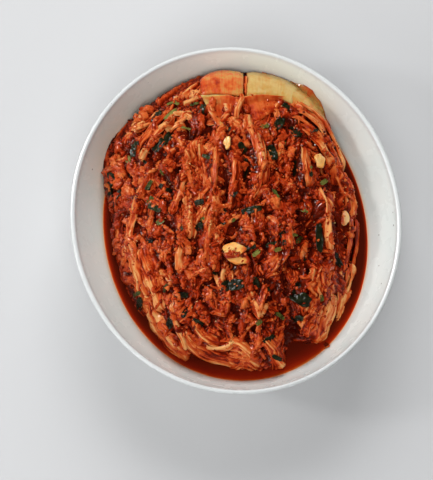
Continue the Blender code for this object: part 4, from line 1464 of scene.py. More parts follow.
class KIMCHI_OT_stems(bpy.types.Operator):
    """Lay the pale stem ends at the root"""
    bl_idname = "kimchi.stems"
    bl_label = "Stem ends"

    def execute(self, context):
        stem = stem_finish(context.scene.kimchi_food, "cabbage_stem")
        right = add_sheet(
            "stem_end_right",
            ((8.8, 95.0), (21, 96.5), (31, 96), (38.5, 94.0), (45, 91)),
            ((9.8, 122.8), (22.5, 123.9), (33, 121.2), (44.5, 116.8), (54.0, 112.6)), (70, 44),
            lambda u, v: MM * (
                3.5 + 0.7 * np.sin(2.6 * u + 0.4) + 0.5 * spot(u, v, (0.75, 0.4), (0.2, 0.4))),
            lambda u, v: 0.08 + 0.07 * np.sin(20.0 * u + 3.0 * v) + 0.55 * smooth_step(0.93, 1.0, v)
            + 0.30 * smooth_step(0.15, 0.0, v) - 0.12 * spot(u, v, (0.80, 0.45), (0.16, 0.4))
            + 0.25 * smooth_step(0.04, 0.0, u), stem, 42, 3.5 * MM)
        belongs(right, "stem", "stem_slab_right")
        corner = add_sheet(
            "stem_end_corner",
            ((38.4, 95.5), (44.8, 92.9), (51.9, 87.4), (59.1, 82.0), (66.4, 76.4), (72.4, 70.4)),
            ((45, 116.4), (53.6, 112.8), (62.2, 108.2), (67.6, 101.0), (72.6, 93.2), (78.8, 80.0)),
            (56, 40),
            lambda u, v: (3.2 - 1.4 * u + 0.9 * np.sin(4.0 * v + 2.0 * u)) * MM,
            lambda u, v: 0.12 + 0.16 * smooth_step(0.1, 0.7, u) + 0.42 * smooth_step(0.30, 0.0, v)
            + 0.22 * smooth_step(0.74, 1.0, u) + 0.22 * smooth_step(0.88, 1.0, v),
            stem, 43, 3.0 * MM)
        belongs(corner, "stem", "stem_slab_corner")
        left = add_sheet(
            "stem_end_left",
            ((-26.5, 96), (-18, 97.5), (-8, 97), (6.4, 96.5)),
            ((-28.5, 113.5), (-21.5, 121.0), (-7.9, 125.0), (7.2, 122.8)), (44, 44),
            lambda u, v: (3.6 + 0.7 * np.sin(3.0 * u) + 0.6 * np.sin(11.0 * v)
                          * smooth_step(0.5, 0.0, u)) * MM,
            lambda u, v: 0.56 - 0.20 * smooth_step(0.4, 1.0, u) - 0.06 * v
            + 0.5 * spot(u, v, (0.50, 0.45), (0.07, 0.12))
            + 0.25 * spot(u, v, (0.42, 0.62), (0.08, 0.1))
            + 0.40 * smooth_step(0.93, 1.0, v) + 0.30 * smooth_step(0.20, 0.0, u)
            + 0.10 * np.sin(9.0 * u) * v, stem, 41, 3.5 * MM)
        belongs(left, "stem", "stem_slab_left")
        return {"FINISHED"}


class KIMCHI_OT_cupped_leaf(bpy.types.Operator):
    """Lay the cupped inner leaf, with its raised lip and the red hollow below it"""
    bl_idname = "kimchi.cupped_leaf"
    bl_label = "Cupped leaf"

    def execute(self, context):
        stem = stem_finish(context.scene.kimchi_food, "soaked_stem")
        cup = add_sheet(
            "cupped_inner_leaf",
            ((-17.5, 74.5), (-12.0, 68.5), (-4.0, 66.0), (7.5, 66.5), (18.0, 74.0), (29.0, 83.0),
             (40.5, 91.5)),
            ((-26.5, 93.8), (-16, 96.6), (-6.0, 96.2), (2.0, 94.6), (12.0, 96.4), (25.0, 97.8),
             (40.5, 95.6)), (104, 72),
            lambda u, v: MM * (
                1.0 + 4.6 * smooth_step(0.70, 0.97, v) - 1.5 * spot(u, v, (0.46, 1.0), (0.10, 0.12))
                + 3.2 * smooth_step(0.16, 0.0, u)
                - 3.2 * np.sin(np.pi * np.clip(v / 0.85, 0, 1))
                * smooth_step(0.08, 0.25, u) * smooth_step(0.72, 0.52, u)
                + 1.6 * spot(u, v, (0.25, 0.18), (0.12, 0.2))
                + 1.6 * spot(u, v, (0.47, 0.2), (0.1, 0.2))
                + 1.0 * np.sin(11.0 * u + 3.0 * v) * (1 - v)),
            lambda u, v: np.clip(
                0.90 + 0.10 * spot(u, v, (0.47, 0.60), (0.14, 0.25))
                - 0.66 * smooth_step(0.90, 0.98, v)
                * (1.0 - 0.8 * spot(u, v, (0.47, 1.0), (0.12, 0.5)))
                - 0.26 * smooth_step(0.13, 0.02, u) - 0.16 * smooth_step(0.5, 0.1, u)
                + 0.14 * np.sin(16.0 * v) * smooth_step(0.3, 0.0, u)
                - 0.20 * smooth_step(0.56, 0.68, u) * smooth_step(0.25, 0.6, v)
                - 0.26 * smooth_step(0.62, 0.84, v) * smooth_step(0.40, 0.25, u)
                - 0.58 * spot(u, v, (0.25, 0.12), (0.10, 0.20))
                - 0.58 * spot(u, v, (0.46, 0.14), (0.08, 0.24)), 0.0, 1.0),
            stem, 44, 1.4 * MM)
        belongs(cup, "leaf", "cupped_leaf")
        form, layer = leaf_form()
        curl = np.array(((4.2, 97.5), (5.4, 93.0), (4.0, 88.0), (1.8, 82.0), (0.6, 74.0))) * MM
        path = np.column_stack(heap_units(curl[:, 0], curl[:, 1]))
        add_strand(
            form, layer, path, 5.5 * MM, 5.6 * MM, 1.6 * MM, 0.1, 0.42, "rib", 71.0, 0.08)
        belongs(finish_leaf("curled_strip", form, bpy.data.materials["cabbage_leaf"]), "leaf")
        return {"FINISHED"}


# ---------------- loose pieces

# Radish sticks that show best: place, length in mm, width in mm, turn in degrees, tint
SHOWN_STICKS = (
    ((-.055, -.084), 22, 3.4, 30, .62), ((-.13, -.47), 17, 3.2, 112, .92),
    ((-.255, -.422), 16, 3, 22, .66), ((-.55, -.118), 20, 3.2, -41, .6),
    ((-.44, -.072), 14, 3.4, 88, .55), ((.132, -.84), 22, 3.6, -56, .18),
    ((-.384, -.229), 12, 4.2, -40, .22), ((.02, .669), 20, 3.2, 100, .66),
    ((.135, -.613), 13, 3, -70, .86), ((.18, -.62), 9, 4.4, 60, .88),
    ((-.765, -.238), 19, 3.2, -70, .5), ((.162, .256), 14, 3, 72, .5),
    ((.312, .457), 10, 2.6, 90, .72), ((.26, .645), 12, 3, 95, .66),
    ((-.292, .22), 18, 3.6, -75, .48), ((-.246, -.025), 15, 3.4, 78, .7),
    ((-.35, -.145), 14, 3.4, 88, .74), ((.412, -.188), 22, 2.8, 92, .34),
    ((-.6, .63), 16, 3.2, 30, .74), ((-.35, .62), 12, 3.4, 40, .8), ((.36, -.22), 16, 2.6, 100, .4),
    ((.52, -.3), 14, 4.6, 70, .58), ((.2, .05), 16, 2.6, 40, .52), ((-.1, .52), 14, 3, 60, .56),
    ((.05, .5), 13, 2.8, 110, .5), ((-.52, .3), 15, 3, 60, .66),
)

# Scallions, which have a paler tint than this, are cut slimmer than the mustard greens
SCALLION_TINT = 0.38
SCALLION_SLIM, MUSTARD_SLIM = 0.62, 0.85

# Greens that show best: place, length and width in mm, turn in degrees, tint
SHOWN_GREENS = (
    ((-.514, .677), 11, 7, 20, .18), ((-.265, .738), 7, 5.5, 10, .62),
    ((-.203, .675), 7, 6, 70, .22), ((-.646, .437), 13, 6, 75, .1), ((-.892, .164), 13, 8, 80, .08),
    ((-.592, .195), 8, 5, 60, .46), ((-.183, .356), 7, 5, -20, .4), ((-.623, .042), 12, 6, -25, .3),
    ((-.278, -.121), 7, 6, 30, .12), ((-.258, .056), 7, 5, 10, .1), ((-.382, -.58), 9, 5, -10, .08),
    ((-.513, -.55), 7, 5, 60, .44), ((-.729, -.565), 8, 5, 10, .52),
    ((-.708, -.631), 9, 7, 60, .14), ((.328, .715), 7, 6, -40, .08), ((.186, .563), 7, 6, 30, .86),
    ((.04, .409), 8, 6, -50, .16), ((.061, .284), 16, 4.5, 86, .1), ((.45, .358), 13, 5, 86, .08),
    ((.698, .27), 7, 6, 40, .8), ((.315, .124), 11, 4.5, -65, .66), ((.123, -.002), 15, 6, 10, .14),
    ((.531, .015), 8, 5, -30, .8), ((.491, -.222), 10, 5, 40, .6), ((.265, -.244), 9, 4, 15, .34),
    ((.098, -.259), 9, 5, 20, .1), ((.793, -.336), 11, 6, -60, .08),
    ((.126, -.459), 9, 5.5, -65, .1), ((.317, -.737), 8, 5, -25, .66),
    ((.414, -.71), 9, 6, 20, .08), ((-.438, -.734), 9, 7, 60, .16), ((-.254, -.731), 8, 5, -30, .1),
    ((.203, -.788), 8, 5, 30, .12), ((.248, -.884), 6, 4, -20, .18), ((-.397, .745), 9, 6, 0, .9),
    ((-.414, .659), 13, 5, 45, .88), ((-.318, .572), 8, 4, 0, .96), ((-.71, .392), 6, 9, 80, .92),
    ((.138, -.319), 7, 5.5, 40, .96), ((.29, -.284), 7, 5, 20, .98),
)

# Garlic: node, turn in degrees, length, width and thickness in mm, stain, and how much
# redder it is towards its left side (seen along its length), and its offset in mm
GARLIC = (
    ("garlic_1", 8, 18.0, 13.0, 2.0, 0.24, -0.7, (0.5, -3.0)),
    ("garlic_2", -8, 17.0, 12.5, 2.0, 0.34, 0.9, (-1.5, 8.6)),
    ("garlic_3", 85, 11.5, 5.6, 2.2, 0.10, 0.1, (0, 0)),
    ("garlic_4", 80, 12.5, 9.4, 2.2, 0.06, 0.0, (0, 0)),
    ("garlic_5", 62, 12.5, 9.0, 2.0, 0.20, 0.2, (0, 0)),
)

# Red paste smeared where the two large slices meet: middle and spread in heap units,
# and how many lumps of it
PASTE_SMEAR_MIDDLE, PASTE_SMEAR_SPREAD = (-.020, -.298), (.040, .011)
PASTE_SMEAR_LUMPS = 40

# Greens with nodes of their own: node, turn in degrees, length and width in mm, tint
GREEN_NODES = (
    ("green_1", 50, 20, 7, .1), ("green_2", 80, 17, 12, .06), ("green_3", 62, 11, 7, .08),
    ("green_4", -52, 12, 8, .06), ("green_5", 88, 23, 5.5, .05), ("green_6", 8, 18, 8.5, .06),
    ("green_7", -28, 13, 10, .06), ("green_8", -74, 14, 6.5, .08),
)


def random_places(picks, count, most):
    """Places spread evenly over the heap, out to a distance in heap units."""
    reach = most * np.sqrt(picks.uniform(0.0, 1.0, count))
    angle = picks.uniform(0.0, math.tau, count)
    return reach * np.cos(angle), reach * np.sin(angle)


def bare_share(across, along):
    """Share of the loose pieces that a place takes: few on the stem ends."""
    root = smooth_step(0.66, 0.80, along) * smooth_step(-0.28, -0.18, across)
    return 1.0 - 0.96 * root * (1.0 - smooth_step(0.66, 0.80, across))


# The pieces that the loose strips of leaf are joined into, and the share of the small
# loose pieces that such a strip takes
STRIP_PIECES = ("long_leaf_strands", "torn_leaf_strips", "leaf_shreds")
STRIP_SHARE = 0.5
# How far out the small loose pieces lie, in heap units
LOOSE_EDGE = 0.97


def leaf_names():
    """The pieces that loose things are laid on."""
    names = ["heap_core", *STRIP_PIECES] + ["wet_" + leaf[0] for leaf in LEAVES]
    return names + ["stem_end_left", "stem_end_right", "stem_end_corner", "cupped_inner_leaf"]


class KIMCHI_OT_radish(bpy.types.Operator):
    """Lay the radish sticks: those that show best, then the rest at random"""
    bl_idname = "kimchi.radish"
    bl_label = "Radish sticks"

    def execute(self, context):
        food = context.scene.kimchi_food
        picks = np.random.default_rng(7)
        ground = Ground(leaf_names())
        template = stick_template()
        copies, tints = [], []
        for place, length, width, turn, tint in SHOWN_STICKS:
            line, normals = lay_line(
                ground, place, length * MM, math.radians(turn), 0.6, bend=picks.normal(0.0, 0.15))
            copies.append(bend_onto(
                template, line, normals, width * MM, 0.8 * width * MM, picks.uniform(-0.3, 0.3),
                0.15 * width * MM))
            tints.append(0.9 * tint)
        across, along = random_places(picks, 2 * food.radish_sticks, 0.93)
        for a, b in zip(across, along):
            if len(copies) >= food.radish_sticks:
                break
            if picks.uniform() > bare_share(a, b):
                continue
            turn = flow_turn(a, b) + picks.normal(0.0, 0.75)
            length, width = picks.uniform(6, 15) * MM, picks.uniform(2.0, 3.8) * MM
            line, normals = lay_line(
                ground, (a, b), length, turn, 0.5, bend=picks.normal(0.0, 0.35))
            copies.append(bend_onto(
                template, line, normals, width, width * picks.uniform(0.6, 0.9),
                picks.uniform(-0.8, 0.8), width * picks.uniform(-0.35, 0.05)))
            tints.append(np.clip(picks.normal(0.26, 0.16), 0.0, 1.0))
        piece = join_copies("radish_sticks", template, copies, radish_finish(food), tint=tints)
        belongs(piece, "chili_heap")
        return {"FINISHED"}


def drop(ground, picks, count, template, sizes, leaf_share, sink, lowest=-9.0 * MM):
    """Copies of a template at random places on the ground, turned at random."""
    across, along = random_places(picks, 3 * count, LOOSE_EDGE)
    x, y = heap_place(across, along)
    lifts, under = ground.land(x, y)
    spots, normals = surface(x, y, lifts)
    copies = []
    for index in range(len(x)):
        keep = bare_share(across[index], along[index])
        if under[index] in STRIP_PIECES:
            keep *= STRIP_SHARE
        elif under[index] not in ("heap_core", "radish_sticks"):
            keep *= leaf_share
        size = sizes(picks)
        turns = Matrix.Rotation(picks.uniform(0, math.tau), 3, picks.normal(0, 1, 3))
        if picks.uniform() > keep or lifts[index] < lowest or len(copies) >= count:
            continue
        shape = template.points * size @ np.array(turns)
        copies.append(spots[index] + normals[index] * (sink * size.mean()) + shape)
    return copies


# Chunks don't lie in gaps deeper than this
CHUNK_LOWEST = -2.5 * MM
# More chunks along the left edge of the heap, from and to these degrees
RIM_CHUNKS = 60
RIM_SPAN = (117, 205)


def rim_places(picks, count):
    """Angles and distances along the part of the outline where the heap meets the wall."""
    return np.radians(picks.uniform(*RIM_SPAN, count)), picks.uniform(0.91, 0.985, count)


class KIMCHI_OT_chunks(bpy.types.Operator):
    """Lay chopped chunks of cabbage and radish, flat along the leaves"""
    bl_idname = "kimchi.chunks"
    bl_label = "Cabbage chunks"

    def execute(self, context):
        food = context.scene.kimchi_food
        picks = np.random.default_rng(23)
        ground = Ground(leaf_names())
        templates = [chunk_template(seed) for seed in range(5)]
        groups = [[] for _ in templates]
        across, along = random_places(picks, 3 * food.cabbage_chunks, 0.95)
        lifts, under = ground.land(*heap_place(across, along))
        for a, b, lift, name in zip(across, along, lifts, under):
            if sum(map(len, groups)) >= food.cabbage_chunks:
                break
            if picks.uniform() > bare_share(a, b) or lift < CHUNK_LOWEST or name != "heap_core":
                continue
            kind = picks.integers(len(templates))
            length, width = picks.uniform(6, 13) * MM, picks.uniform(3.5, 7) * MM
            turn = flow_turn(a, b) + picks.normal(0.0, 0.6)
            line, normals = lay_line(ground, (a, b), length, turn, 0.6, 5)
            groups[kind].append(bend_onto(
                templates[kind], line, normals, width, width * picks.uniform(0.5, 0.8),
                picks.uniform(-0.7, 0.7), width * picks.uniform(-0.25, 0.0)))
        for angle, reach in zip(*rim_places(picks, RIM_CHUNKS)):
            a, b = reach * math.cos(angle), reach * math.sin(angle)
            length, width = picks.uniform(5, 10) * MM, picks.uniform(3.5, 6.5) * MM
            line, normals = lay_line(ground, (a, b), length, angle + picks.normal(0.0, 0.9), 0.4, 5)
            groups[picks.integers(len(templates))].append(bend_onto(
                templates[0], line, normals, width, width * picks.uniform(0.6, 0.9),
                picks.uniform(-0.7, 0.7), width * picks.uniform(-0.1, 0.2)))
        material = paste_finish(food, "chili_coated_chunks", 0.06)
        for kind, (template, copies) in enumerate(zip(templates, groups)):
            light = np.clip(picks.normal(0.54, 0.15, len(copies)), 0.1, 1.0)
            name = f"cabbage_chunks_{kind + 1}"
            belongs(join_copies(name, template, copies, material, light=light), "chili_heap")
        return {"FINISHED"}


class KIMCHI_OT_paste(bpy.types.Operator):
    """Drop lumps of paste and minced garlic and ginger on the heap"""
    bl_idname = "kimchi.paste"
    bl_label = "Paste and mince"

    def execute(self, context):
        food = context.scene.kimchi_food
        picks = np.random.default_rng(11)
        ground = Ground(leaf_names() + ["radish_sticks"] + ["sliced_" + row[0] for row in GARLIC])
        lumps = Template(ball_form(2, 0.5, 0.45, 5))
        copies = drop(
            ground, picks, food.paste_lumps, lumps,
            lambda pick: pick.uniform(1.6, 3.6) * MM * pick.uniform(0.5, 1.4, 3), 0.10, -0.15,
            -3 * MM)
        away = picks.normal(0.0, 1.0, (PASTE_SMEAR_LUMPS, 2))
        x, y = heap_place(*(PASTE_SMEAR_MIDDLE + away * PASTE_SMEAR_SPREAD).T)
        spots, _ = surface(x, y, ground.land(x, y)[0])
        for middle in spots:
            size = picks.uniform(1.2, 2.8) * MM * picks.uniform(0.5, 1.3, 3)
            copies.append(middle + lumps.points * size)
        piece = join_copies(
            "paste_lumps", lumps, copies, paste_finish(food, "chili_paste_lumps", 0.05),
            light=np.clip(picks.normal(0.60, 0.18, len(copies)), 0.05, 1.0))
        belongs(piece, "chili_heap")
        grain = grain_template()
        copies = drop(
            ground, picks, food.paste_grains, grain,
            lambda pick: pick.uniform(0.8, 1.8) * MM * pick.uniform(0.6, 1.3, 3), 0.14, 0.0)
        piece = join_copies(
            "garlic_and_ginger_mince", grain, copies, radish_finish(food),
            tint=np.clip(picks.normal(0.30, 0.22, len(copies)), 0.0, 1.0))
        belongs(piece, "chili_heap")
        return {"FINISHED"}


class KIMCHI_OT_flakes(bpy.types.Operator):
    """Scatter chili flakes and a few seeds"""
    bl_idname = "kimchi.flakes"
    bl_label = "Chili flakes"

    def execute(self, context):
        food = context.scene.kimchi_food
        picks = np.random.default_rng(12)
        ground = Ground(leaf_names() + ["radish_sticks"])
        flake = flake_template()
        copies = drop(
            ground, picks, food.chili_flakes, flake,
            lambda pick: pick.uniform(1.0, 2.3) * MM * np.array((1.0, pick.uniform(0.5, 1.0), 0.8)),
            0.14, 0.0)
        tints = picks.uniform(0.0, 0.85, len(copies))
        tints[picks.uniform(size=len(copies)) < 0.03] = 1.0
        piece = join_copies("chili_flakes_and_seeds", flake, copies, flake_finish(), tint=tints)
        belongs(piece, "chili_heap")
        return {"FINISHED"}


def chunk_template(seed):
    """A soft torn chunk: X from 0 to 1, Y and Z from -0.5 to 0.5."""
    form = bmesh.new()
    bmesh.ops.create_icosphere(form, subdivisions=3, radius=0.5)
    points = positions(form.verts)
    rough = 0.50 * noise_at(points, 0.55, 60 + seed) + 0.50 * noise_at(points, 0.25, 80 + seed)
    rough += 0.30 * noise_at(points, 0.12, 90 + seed)
    points *= (1.0 + rough)[:, None]
    points[:, 1] += 0.3 * noise_at(points * (1, 0, 0), 0.5, 70 + seed)
    points[:, 0] += 0.5
    move_to(form.verts, points)
    return Template(form)


def grain_template():
    """A grain of few faces, about one unit across."""
    form = ball_form(1, 0.6, 0.5, 2)
    bmesh.ops.dissolve_degenerate(form, dist=0.05, edges=form.edges[:])
    return Template(form)


def flake_template():
    """A thin curled flake one unit across."""
    form = bmesh.new()
    bmesh.ops.create_cone(
        form, cap_ends=True, segments=6, radius1=0.5, radius2=0.42, depth=0.16)
    for vert in form.verts:
        vert.co.z += 0.5 * vert.co.x ** 2 - 0.3 * vert.co.y ** 2
    return Template(form)


def leaf_piece_template():
    """A crumpled scrap of leaf: X from 0 to 1, Y and Z from -0.5 to 0.5."""
    form = bmesh.new()
    bmesh.ops.create_grid(form, x_segments=10, y_segments=6, size=0.5)
    for vert in form.verts:
        trim = 1.0 - 0.30 * (2 * abs(vert.co.x)) ** 4
        vert.co.y *= trim
        vert.co.x *= 1.0 - 0.18 * (2 * abs(vert.co.y)) ** 3
    bmesh.ops.solidify(form, geom=form.faces[:], thickness=0.12)
    points = positions(form.verts)
    crumple = noise_at(points, 0.28, 6) + 0.5 * noise_at(points, 0.13, 8)
    points[:, 2] += 0.9 * crumple + 0.8 * (points[:, 1] ** 2)
    points[:, 0] += 0.5
    move_to(form.verts, points)
    return Template(form)


class KIMCHI_OT_greens(bpy.types.Operator):
    """Lay the mustard greens and scallions"""
    bl_idname = "kimchi.greens"
    bl_label = "Greens"

    def execute(self, context):
        food = context.scene.kimchi_food
        picks = np.random.default_rng(17)
        ground = Ground(leaf_names() + ["radish_sticks"])
        template = leaf_piece_template()
        material = green_finish(food)

        def laid(place, length, width, turn, raise_by):
            line, normals = lay_line(ground, place, length, turn, 0.55)
            return bend_onto(
                template, line, normals, width, 0.36 * width, picks.uniform(-0.35, 0.35), raise_by)

        for node, turn, length, width, tint in GREEN_NODES:
            low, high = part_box(node)
            middle = 0.5 * (low + high)
            place = heap_units(np.array(middle.x), np.array(middle.y))
            copy = laid(place, length * MM, width * MM, math.radians(turn), 1.5 * MM)
            piece = join_copies("wet_" + node, template, [copy], material, tint=[tint])
            belongs(piece, "green", node)
        copies, tints = [], []
        for place, length, width, turn, tint in SHOWN_GREENS:
            slim = SCALLION_SLIM if tint > SCALLION_TINT else MUSTARD_SLIM
            copies.append(laid(place, length * MM, slim * width * MM, math.radians(turn), 1.2 * MM))
            tints.append(tint)
        for a, b in zip(*random_places(picks, food.herb_scraps, 0.9)):
            if picks.uniform() > bare_share(a, b):
                continue
            turn = picks.uniform(0, math.tau)
            size = picks.uniform(2.0, 4.5) * MM
            copies.append(laid((a, b), 1.4 * size, size, turn, 0.5 * MM))
            tints.append(picks.choice((0.05, 0.1, 0.3, 0.7)))
        piece = join_copies("chopped_greens", template, copies, material, tint=tints)
        belongs(piece, "green")
        return {"FINISHED"}


class KIMCHI_OT_garlic(bpy.types.Operator):
    """Lay the slices of garlic"""
    bl_idname = "kimchi.garlic"
    bl_label = "Garlic slices"

    def execute(self, context):
        material = garlic_finish(context.scene.kimchi_food)
        for number, (node, turn, length, width, thick, stain, aside, offset) in enumerate(GARLIC):
            low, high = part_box(node)
            middle = 0.5 * (low + high) + Vector((*offset, 0.0)) * MM
            form = bmesh.new()
            bmesh.ops.create_cone(
                form, cap_ends=True, segments=28, radius1=0.5, radius2=0.47, depth=1.0)
            rims = [
                edge for edge in form.edges
                if abs(edge.verts[0].co.z - edge.verts[1].co.z) < 0.1]
            bmesh.ops.bevel(
                form, geom=rims, offset=0.09, offset_type="OFFSET", affect="EDGES",
                segments=3, profile=0.5, material=-1)
            caps = [face for face in form.faces if len(face.verts) > 8]
            for share in (0.16, 0.16, 0.12):
                bmesh.ops.inset_region(form, faces=caps, thickness=share, depth=0.0)
            bmesh.ops.triangulate(form, faces=[face for face in form.faces if len(face.verts) > 8])
            points = positions(form.verts)
            chips = noise_at(points * (1, 1, 0.3), 0.34, 30 + number)
            chips += 0.6 * noise_at(points * (1, 1, 0.3), 0.16, 35 + number)
            around = np.arctan2(points[:, 1], points[:, 0])
            lobes = 0.10 * np.cos(3 * around + number) + 0.08 * np.cos(5 * around + 2.0 * number)
            points[:, :2] *= (1.0 + lobes + 0.18 * chips)[:, None]
            points[:, 1] *= 1.0 - 0.25 * np.maximum(0.0, points[:, 0])
            points[:, 2] += 0.40 * noise_at(points * (1, 1, 0.2), 0.30, 50 + number)
            points[:, 2] -= 0.4 * points[:, 0] ** 2
            rim = smooth_step(0.30, 0.52, np.hypot(points[:, 0], points[:, 1]))
            _, normal = surface(middle.x, middle.y)
            axes = turned_axes(normal[0], math.radians(turn))
            scaled = points * (length * MM, width * MM, thick * MM)
            move_to(form.verts, np.array(middle) + scaled @ axes.T)
            bmesh.ops.recalc_face_normals(form, faces=form.faces[:])
            piece = add_piece("sliced_" + node, form, material)
            red = np.clip(aside * (points[:, 1] + 0.12), 0.0, 1.0)
            set_value(piece.data, "stain", stain + 0.30 * rim + 4.5 * red ** 1.2)
            smooth = piece.modifiers.new("smooth", "SUBSURF")
            smooth.levels = 1
            smooth.render_levels = 1
            belongs(piece, "garlic", node)
        return {"FINISHED"}


# The height map of the food: its cell, and how far it reaches from the middle
RELIEF_CELL = 0.8 * MM
RELIEF_SIDE = 0.15
# Two blurs of it that each point is held against, and how much each counts
FAR_SPREAD, NEAR_SPREAD = 3.6 * MM, 1.3 * MM
FAR_GAIN, NEAR_GAIN = 0.10 / MM, 0.09 / MM
# How much darker the right and near side is painted than the far left: partly as lying deeper in
# the juice, partly as painted shade away from the light
LOW_SIDE = 0.20
LOW_SIDE_START, LOW_SIDE_LEAN = 0.02, 0.65
LOW_SIDE_LIMITS = (-0.45, 0.80)


def blurred(values, weights, spread):
    """A height map spread evenly over its surroundings, empty cells left out."""
    reach = round(3 * spread / RELIEF_CELL)
    bell = np.exp(-0.5 * (np.arange(-reach, reach + 1) * RELIEF_CELL / spread) ** 2)
    both = []
    for grid in (values * weights, weights):
        for _ in range(2):
            grid = np.array([np.convolve(row, bell, mode="same") for row in grid]).T
        both.append(grid)
    return both[0] / np.maximum(1e-6, both[1])


class KIMCHI_OT_soak(bpy.types.Operator):
    """Store on all the food how far each point stands out of what is around it, which paints shade
    in its hollows
    """
    bl_idname = "kimchi.soak"
    bl_label = "Paint shade in the hollows"

    def execute(self, context):
        side = round(2 * RELIEF_SIDE / RELIEF_CELL)
        grid = np.full((side, side), -1.0)
        places = {}
        for thing in everything_wet():
            spots = np.empty(3 * len(thing.data.vertices), np.float32)
            thing.data.vertices.foreach_get("co", spots)
            spots = spots.reshape(-1, 3).astype(float)
            base, normals = surface(spots[:, 0], spots[:, 1])
            high = (spots[:, 2] - base[:, 2]) * normals[:, 2]
            across, along = heap_units(spots[:, 0], spots[:, 1])
            lean = LOW_SIDE_START + LOW_SIDE_LEAN * across - LOW_SIDE_LEAN * along
            soak_and_shade = LOW_SIDE * np.clip(lean, *LOW_SIDE_LIMITS)
            columns = np.clip(((spots[:, :2] + RELIEF_SIDE) / RELIEF_CELL).astype(int), 0, side - 1)
            np.maximum.at(grid, tuple(columns.T), high)
            places[thing.name] = (columns, high, soak_and_shade)
        known = (grid > -0.5).astype(float)
        far = blurred(grid, known, FAR_SPREAD)
        near = blurred(grid, known, NEAR_SPREAD)
        for name, (columns, high, soak_and_shade) in places.items():
            cell = tuple(columns.T)
            over_far, over_near = FAR_GAIN * (high - far[cell]), NEAR_GAIN * (high - near[cell])
            stands_out = 0.5 + over_far + over_near - soak_and_shade
            layer = bpy.data.objects[name].data.attributes["stands_out"]
            layer.data.foreach_set("value", np.clip(stands_out, 0.0, 1.0).astype(np.float32))
        return {"FINISHED"}


# ---------------- stage

# Lights: name, place, size, setting that holds the power, whether the wet film mirrors
# it, and whether it lights the pieces otherwise
LIGHTS = (
    ("window", (-0.83, -0.83, 0.55), (0.70, 0.70), "key_power", True, True),
    ("sky_panel", (0.0, 0.97, 0.87), (0.90, 0.70), "panel_power", False, True),
    ("side", (-1.08, 0.0, 0.73), (0.16, 0.16), "side_power", True, True),
    ("front", (0.0, -0.65, 1.12), (0.70, 0.70), "front_power", False, True),
    ("glint", (-0.74, 0.45, 0.74), (0.24, 0.24), "glint_power", True, False),
)
LIGHT_AIM = Vector((0, 0, 0.04))
SKY = (0.94, 0.97, 1.0, 1.0)
VIEW_MIDDLE = Vector((-14.8 * MM, -21.0 * MM, 68.0 * MM))


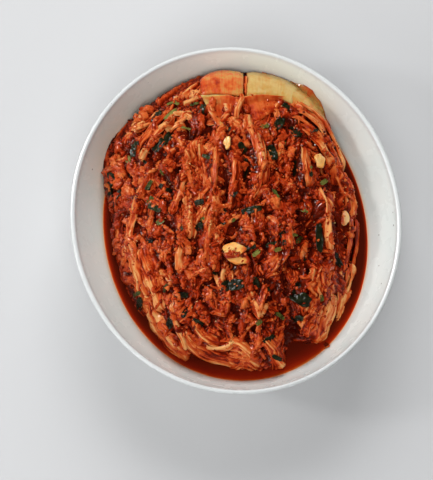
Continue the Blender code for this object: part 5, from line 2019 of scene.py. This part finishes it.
class KIMCHI_OT_stage(bpy.types.Operator):
    """Set the floor, the lights, the fill and the camera"""
    bl_idname = "kimchi.stage"
    bl_label = "Stage"

    def execute(self, context):
        scene = context.scene
        settings = scene.kimchi_stage
        form = bmesh.new()
        bmesh.ops.create_grid(form, x_segments=4, y_segments=4, size=3.0)
        finish = Finish("plain_floor")
        mottle = finish.mix(
            finish.spread(finish.noise(3.0, 2.0), 0.3, 0.7, 0.0, 0.04), settings.floor,
            tuple(0.95 * part for part in settings.floor))
        floor = add_piece("floor", form, finish.finish(mottle, 0.85, Specular_IOR_Level=0.2))
        for name, place, size, power, mirrored, lights in LIGHTS:
            lamp = self.add_light(name, place, size, getattr(settings, power))
            lamp.visible_glossy = mirrored
            lamp.visible_diffuse = lights
        world = bpy.data.worlds.new("even_light")
        world.use_nodes = True
        sky = world.node_tree.nodes["Background"]
        sky.inputs["Color"].default_value = SKY
        sky.inputs["Strength"].default_value = settings.fill
        scene.world = world
        scene.view_settings.view_transform = "Standard"
        self.add_camera(scene, settings)
        return {"FINISHED"}

    def add_light(self, name, place, size, power):
        """A soft rectangular light that faces the bowl."""
        light = bpy.data.lights.new(name, "AREA")
        light.shape = "RECTANGLE"
        light.size, light.size_y = size
        light.energy = power
        lamp = bpy.data.objects.new(name, light)
        lamp.location = place
        lamp.rotation_euler = (LIGHT_AIM - Vector(place)).to_track_quat("-Z", "Y").to_euler()
        bpy.context.scene.collection.objects.link(lamp)
        return lamp

    def add_camera(self, scene, settings):
        """A camera above the bowl that leans towards the leaf tips."""
        lens = bpy.data.cameras.new("camera")
        lens.lens = settings.lens
        lens.sensor_width = 36.0
        camera = bpy.data.objects.new("camera", lens)
        back = Vector((0.0, -math.sin(settings.tilt), math.cos(settings.tilt)))
        camera.location = VIEW_MIDDLE + settings.distance * back
        camera.rotation_euler = (settings.tilt, 0.0, 0.0)
        scene.collection.objects.link(camera)
        scene.camera = camera


# ---------------- panel and main

OPERATORS = (
    KIMCHI_OT_bowl, KIMCHI_OT_broth, KIMCHI_OT_heap, KIMCHI_OT_leaves, KIMCHI_OT_leaf_strips,
    KIMCHI_OT_stems, KIMCHI_OT_cupped_leaf, KIMCHI_OT_chunks, KIMCHI_OT_radish, KIMCHI_OT_garlic,
    KIMCHI_OT_paste, KIMCHI_OT_flakes, KIMCHI_OT_greens, KIMCHI_OT_soak, KIMCHI_OT_stage,
)


class KIMCHI_PT_panel(bpy.types.Panel):
    """Lists the pieces of the kimchi bowl"""
    bl_idname = "KIMCHI_PT_panel"
    bl_label = "Kimchi bowl"
    bl_space_type = "VIEW_3D"
    bl_region_type = "UI"
    bl_category = "Kimchi"

    def draw(self, context):
        for operator in OPERATORS:
            self.layout.operator(operator.bl_idname)


SETTINGS = (
    ("kimchi_bowl", KimchiBowlSettings), ("kimchi_food", KimchiFoodSettings),
    ("kimchi_stage", KimchiStageSettings),
)


def register():
    for name, group in SETTINGS:
        bpy.utils.register_class(group)
        setattr(bpy.types.Scene, name, PointerProperty(type=group))
    for item in OPERATORS + (KIMCHI_PT_panel,):
        bpy.utils.register_class(item)


def unregister():
    for item in OPERATORS + (KIMCHI_PT_panel,):
        bpy.utils.unregister_class(item)
    for name, group in SETTINGS:
        delattr(bpy.types.Scene, name)
        bpy.utils.unregister_class(group)


def main():
    register()
    bpy.ops.kimchi.bowl()
    bpy.ops.kimchi.broth()
    bpy.ops.kimchi.heap()
    bpy.ops.kimchi.leaves()
    bpy.ops.kimchi.leaf_strips()
    bpy.ops.kimchi.stems()
    bpy.ops.kimchi.cupped_leaf()
    bpy.ops.kimchi.chunks()
    bpy.ops.kimchi.radish()
    bpy.ops.kimchi.garlic()
    bpy.ops.kimchi.paste()
    bpy.ops.kimchi.flakes()
    bpy.ops.kimchi.greens()
    bpy.ops.kimchi.soak()
    bpy.ops.kimchi.stage()


if __name__ == "__main__":
    main()
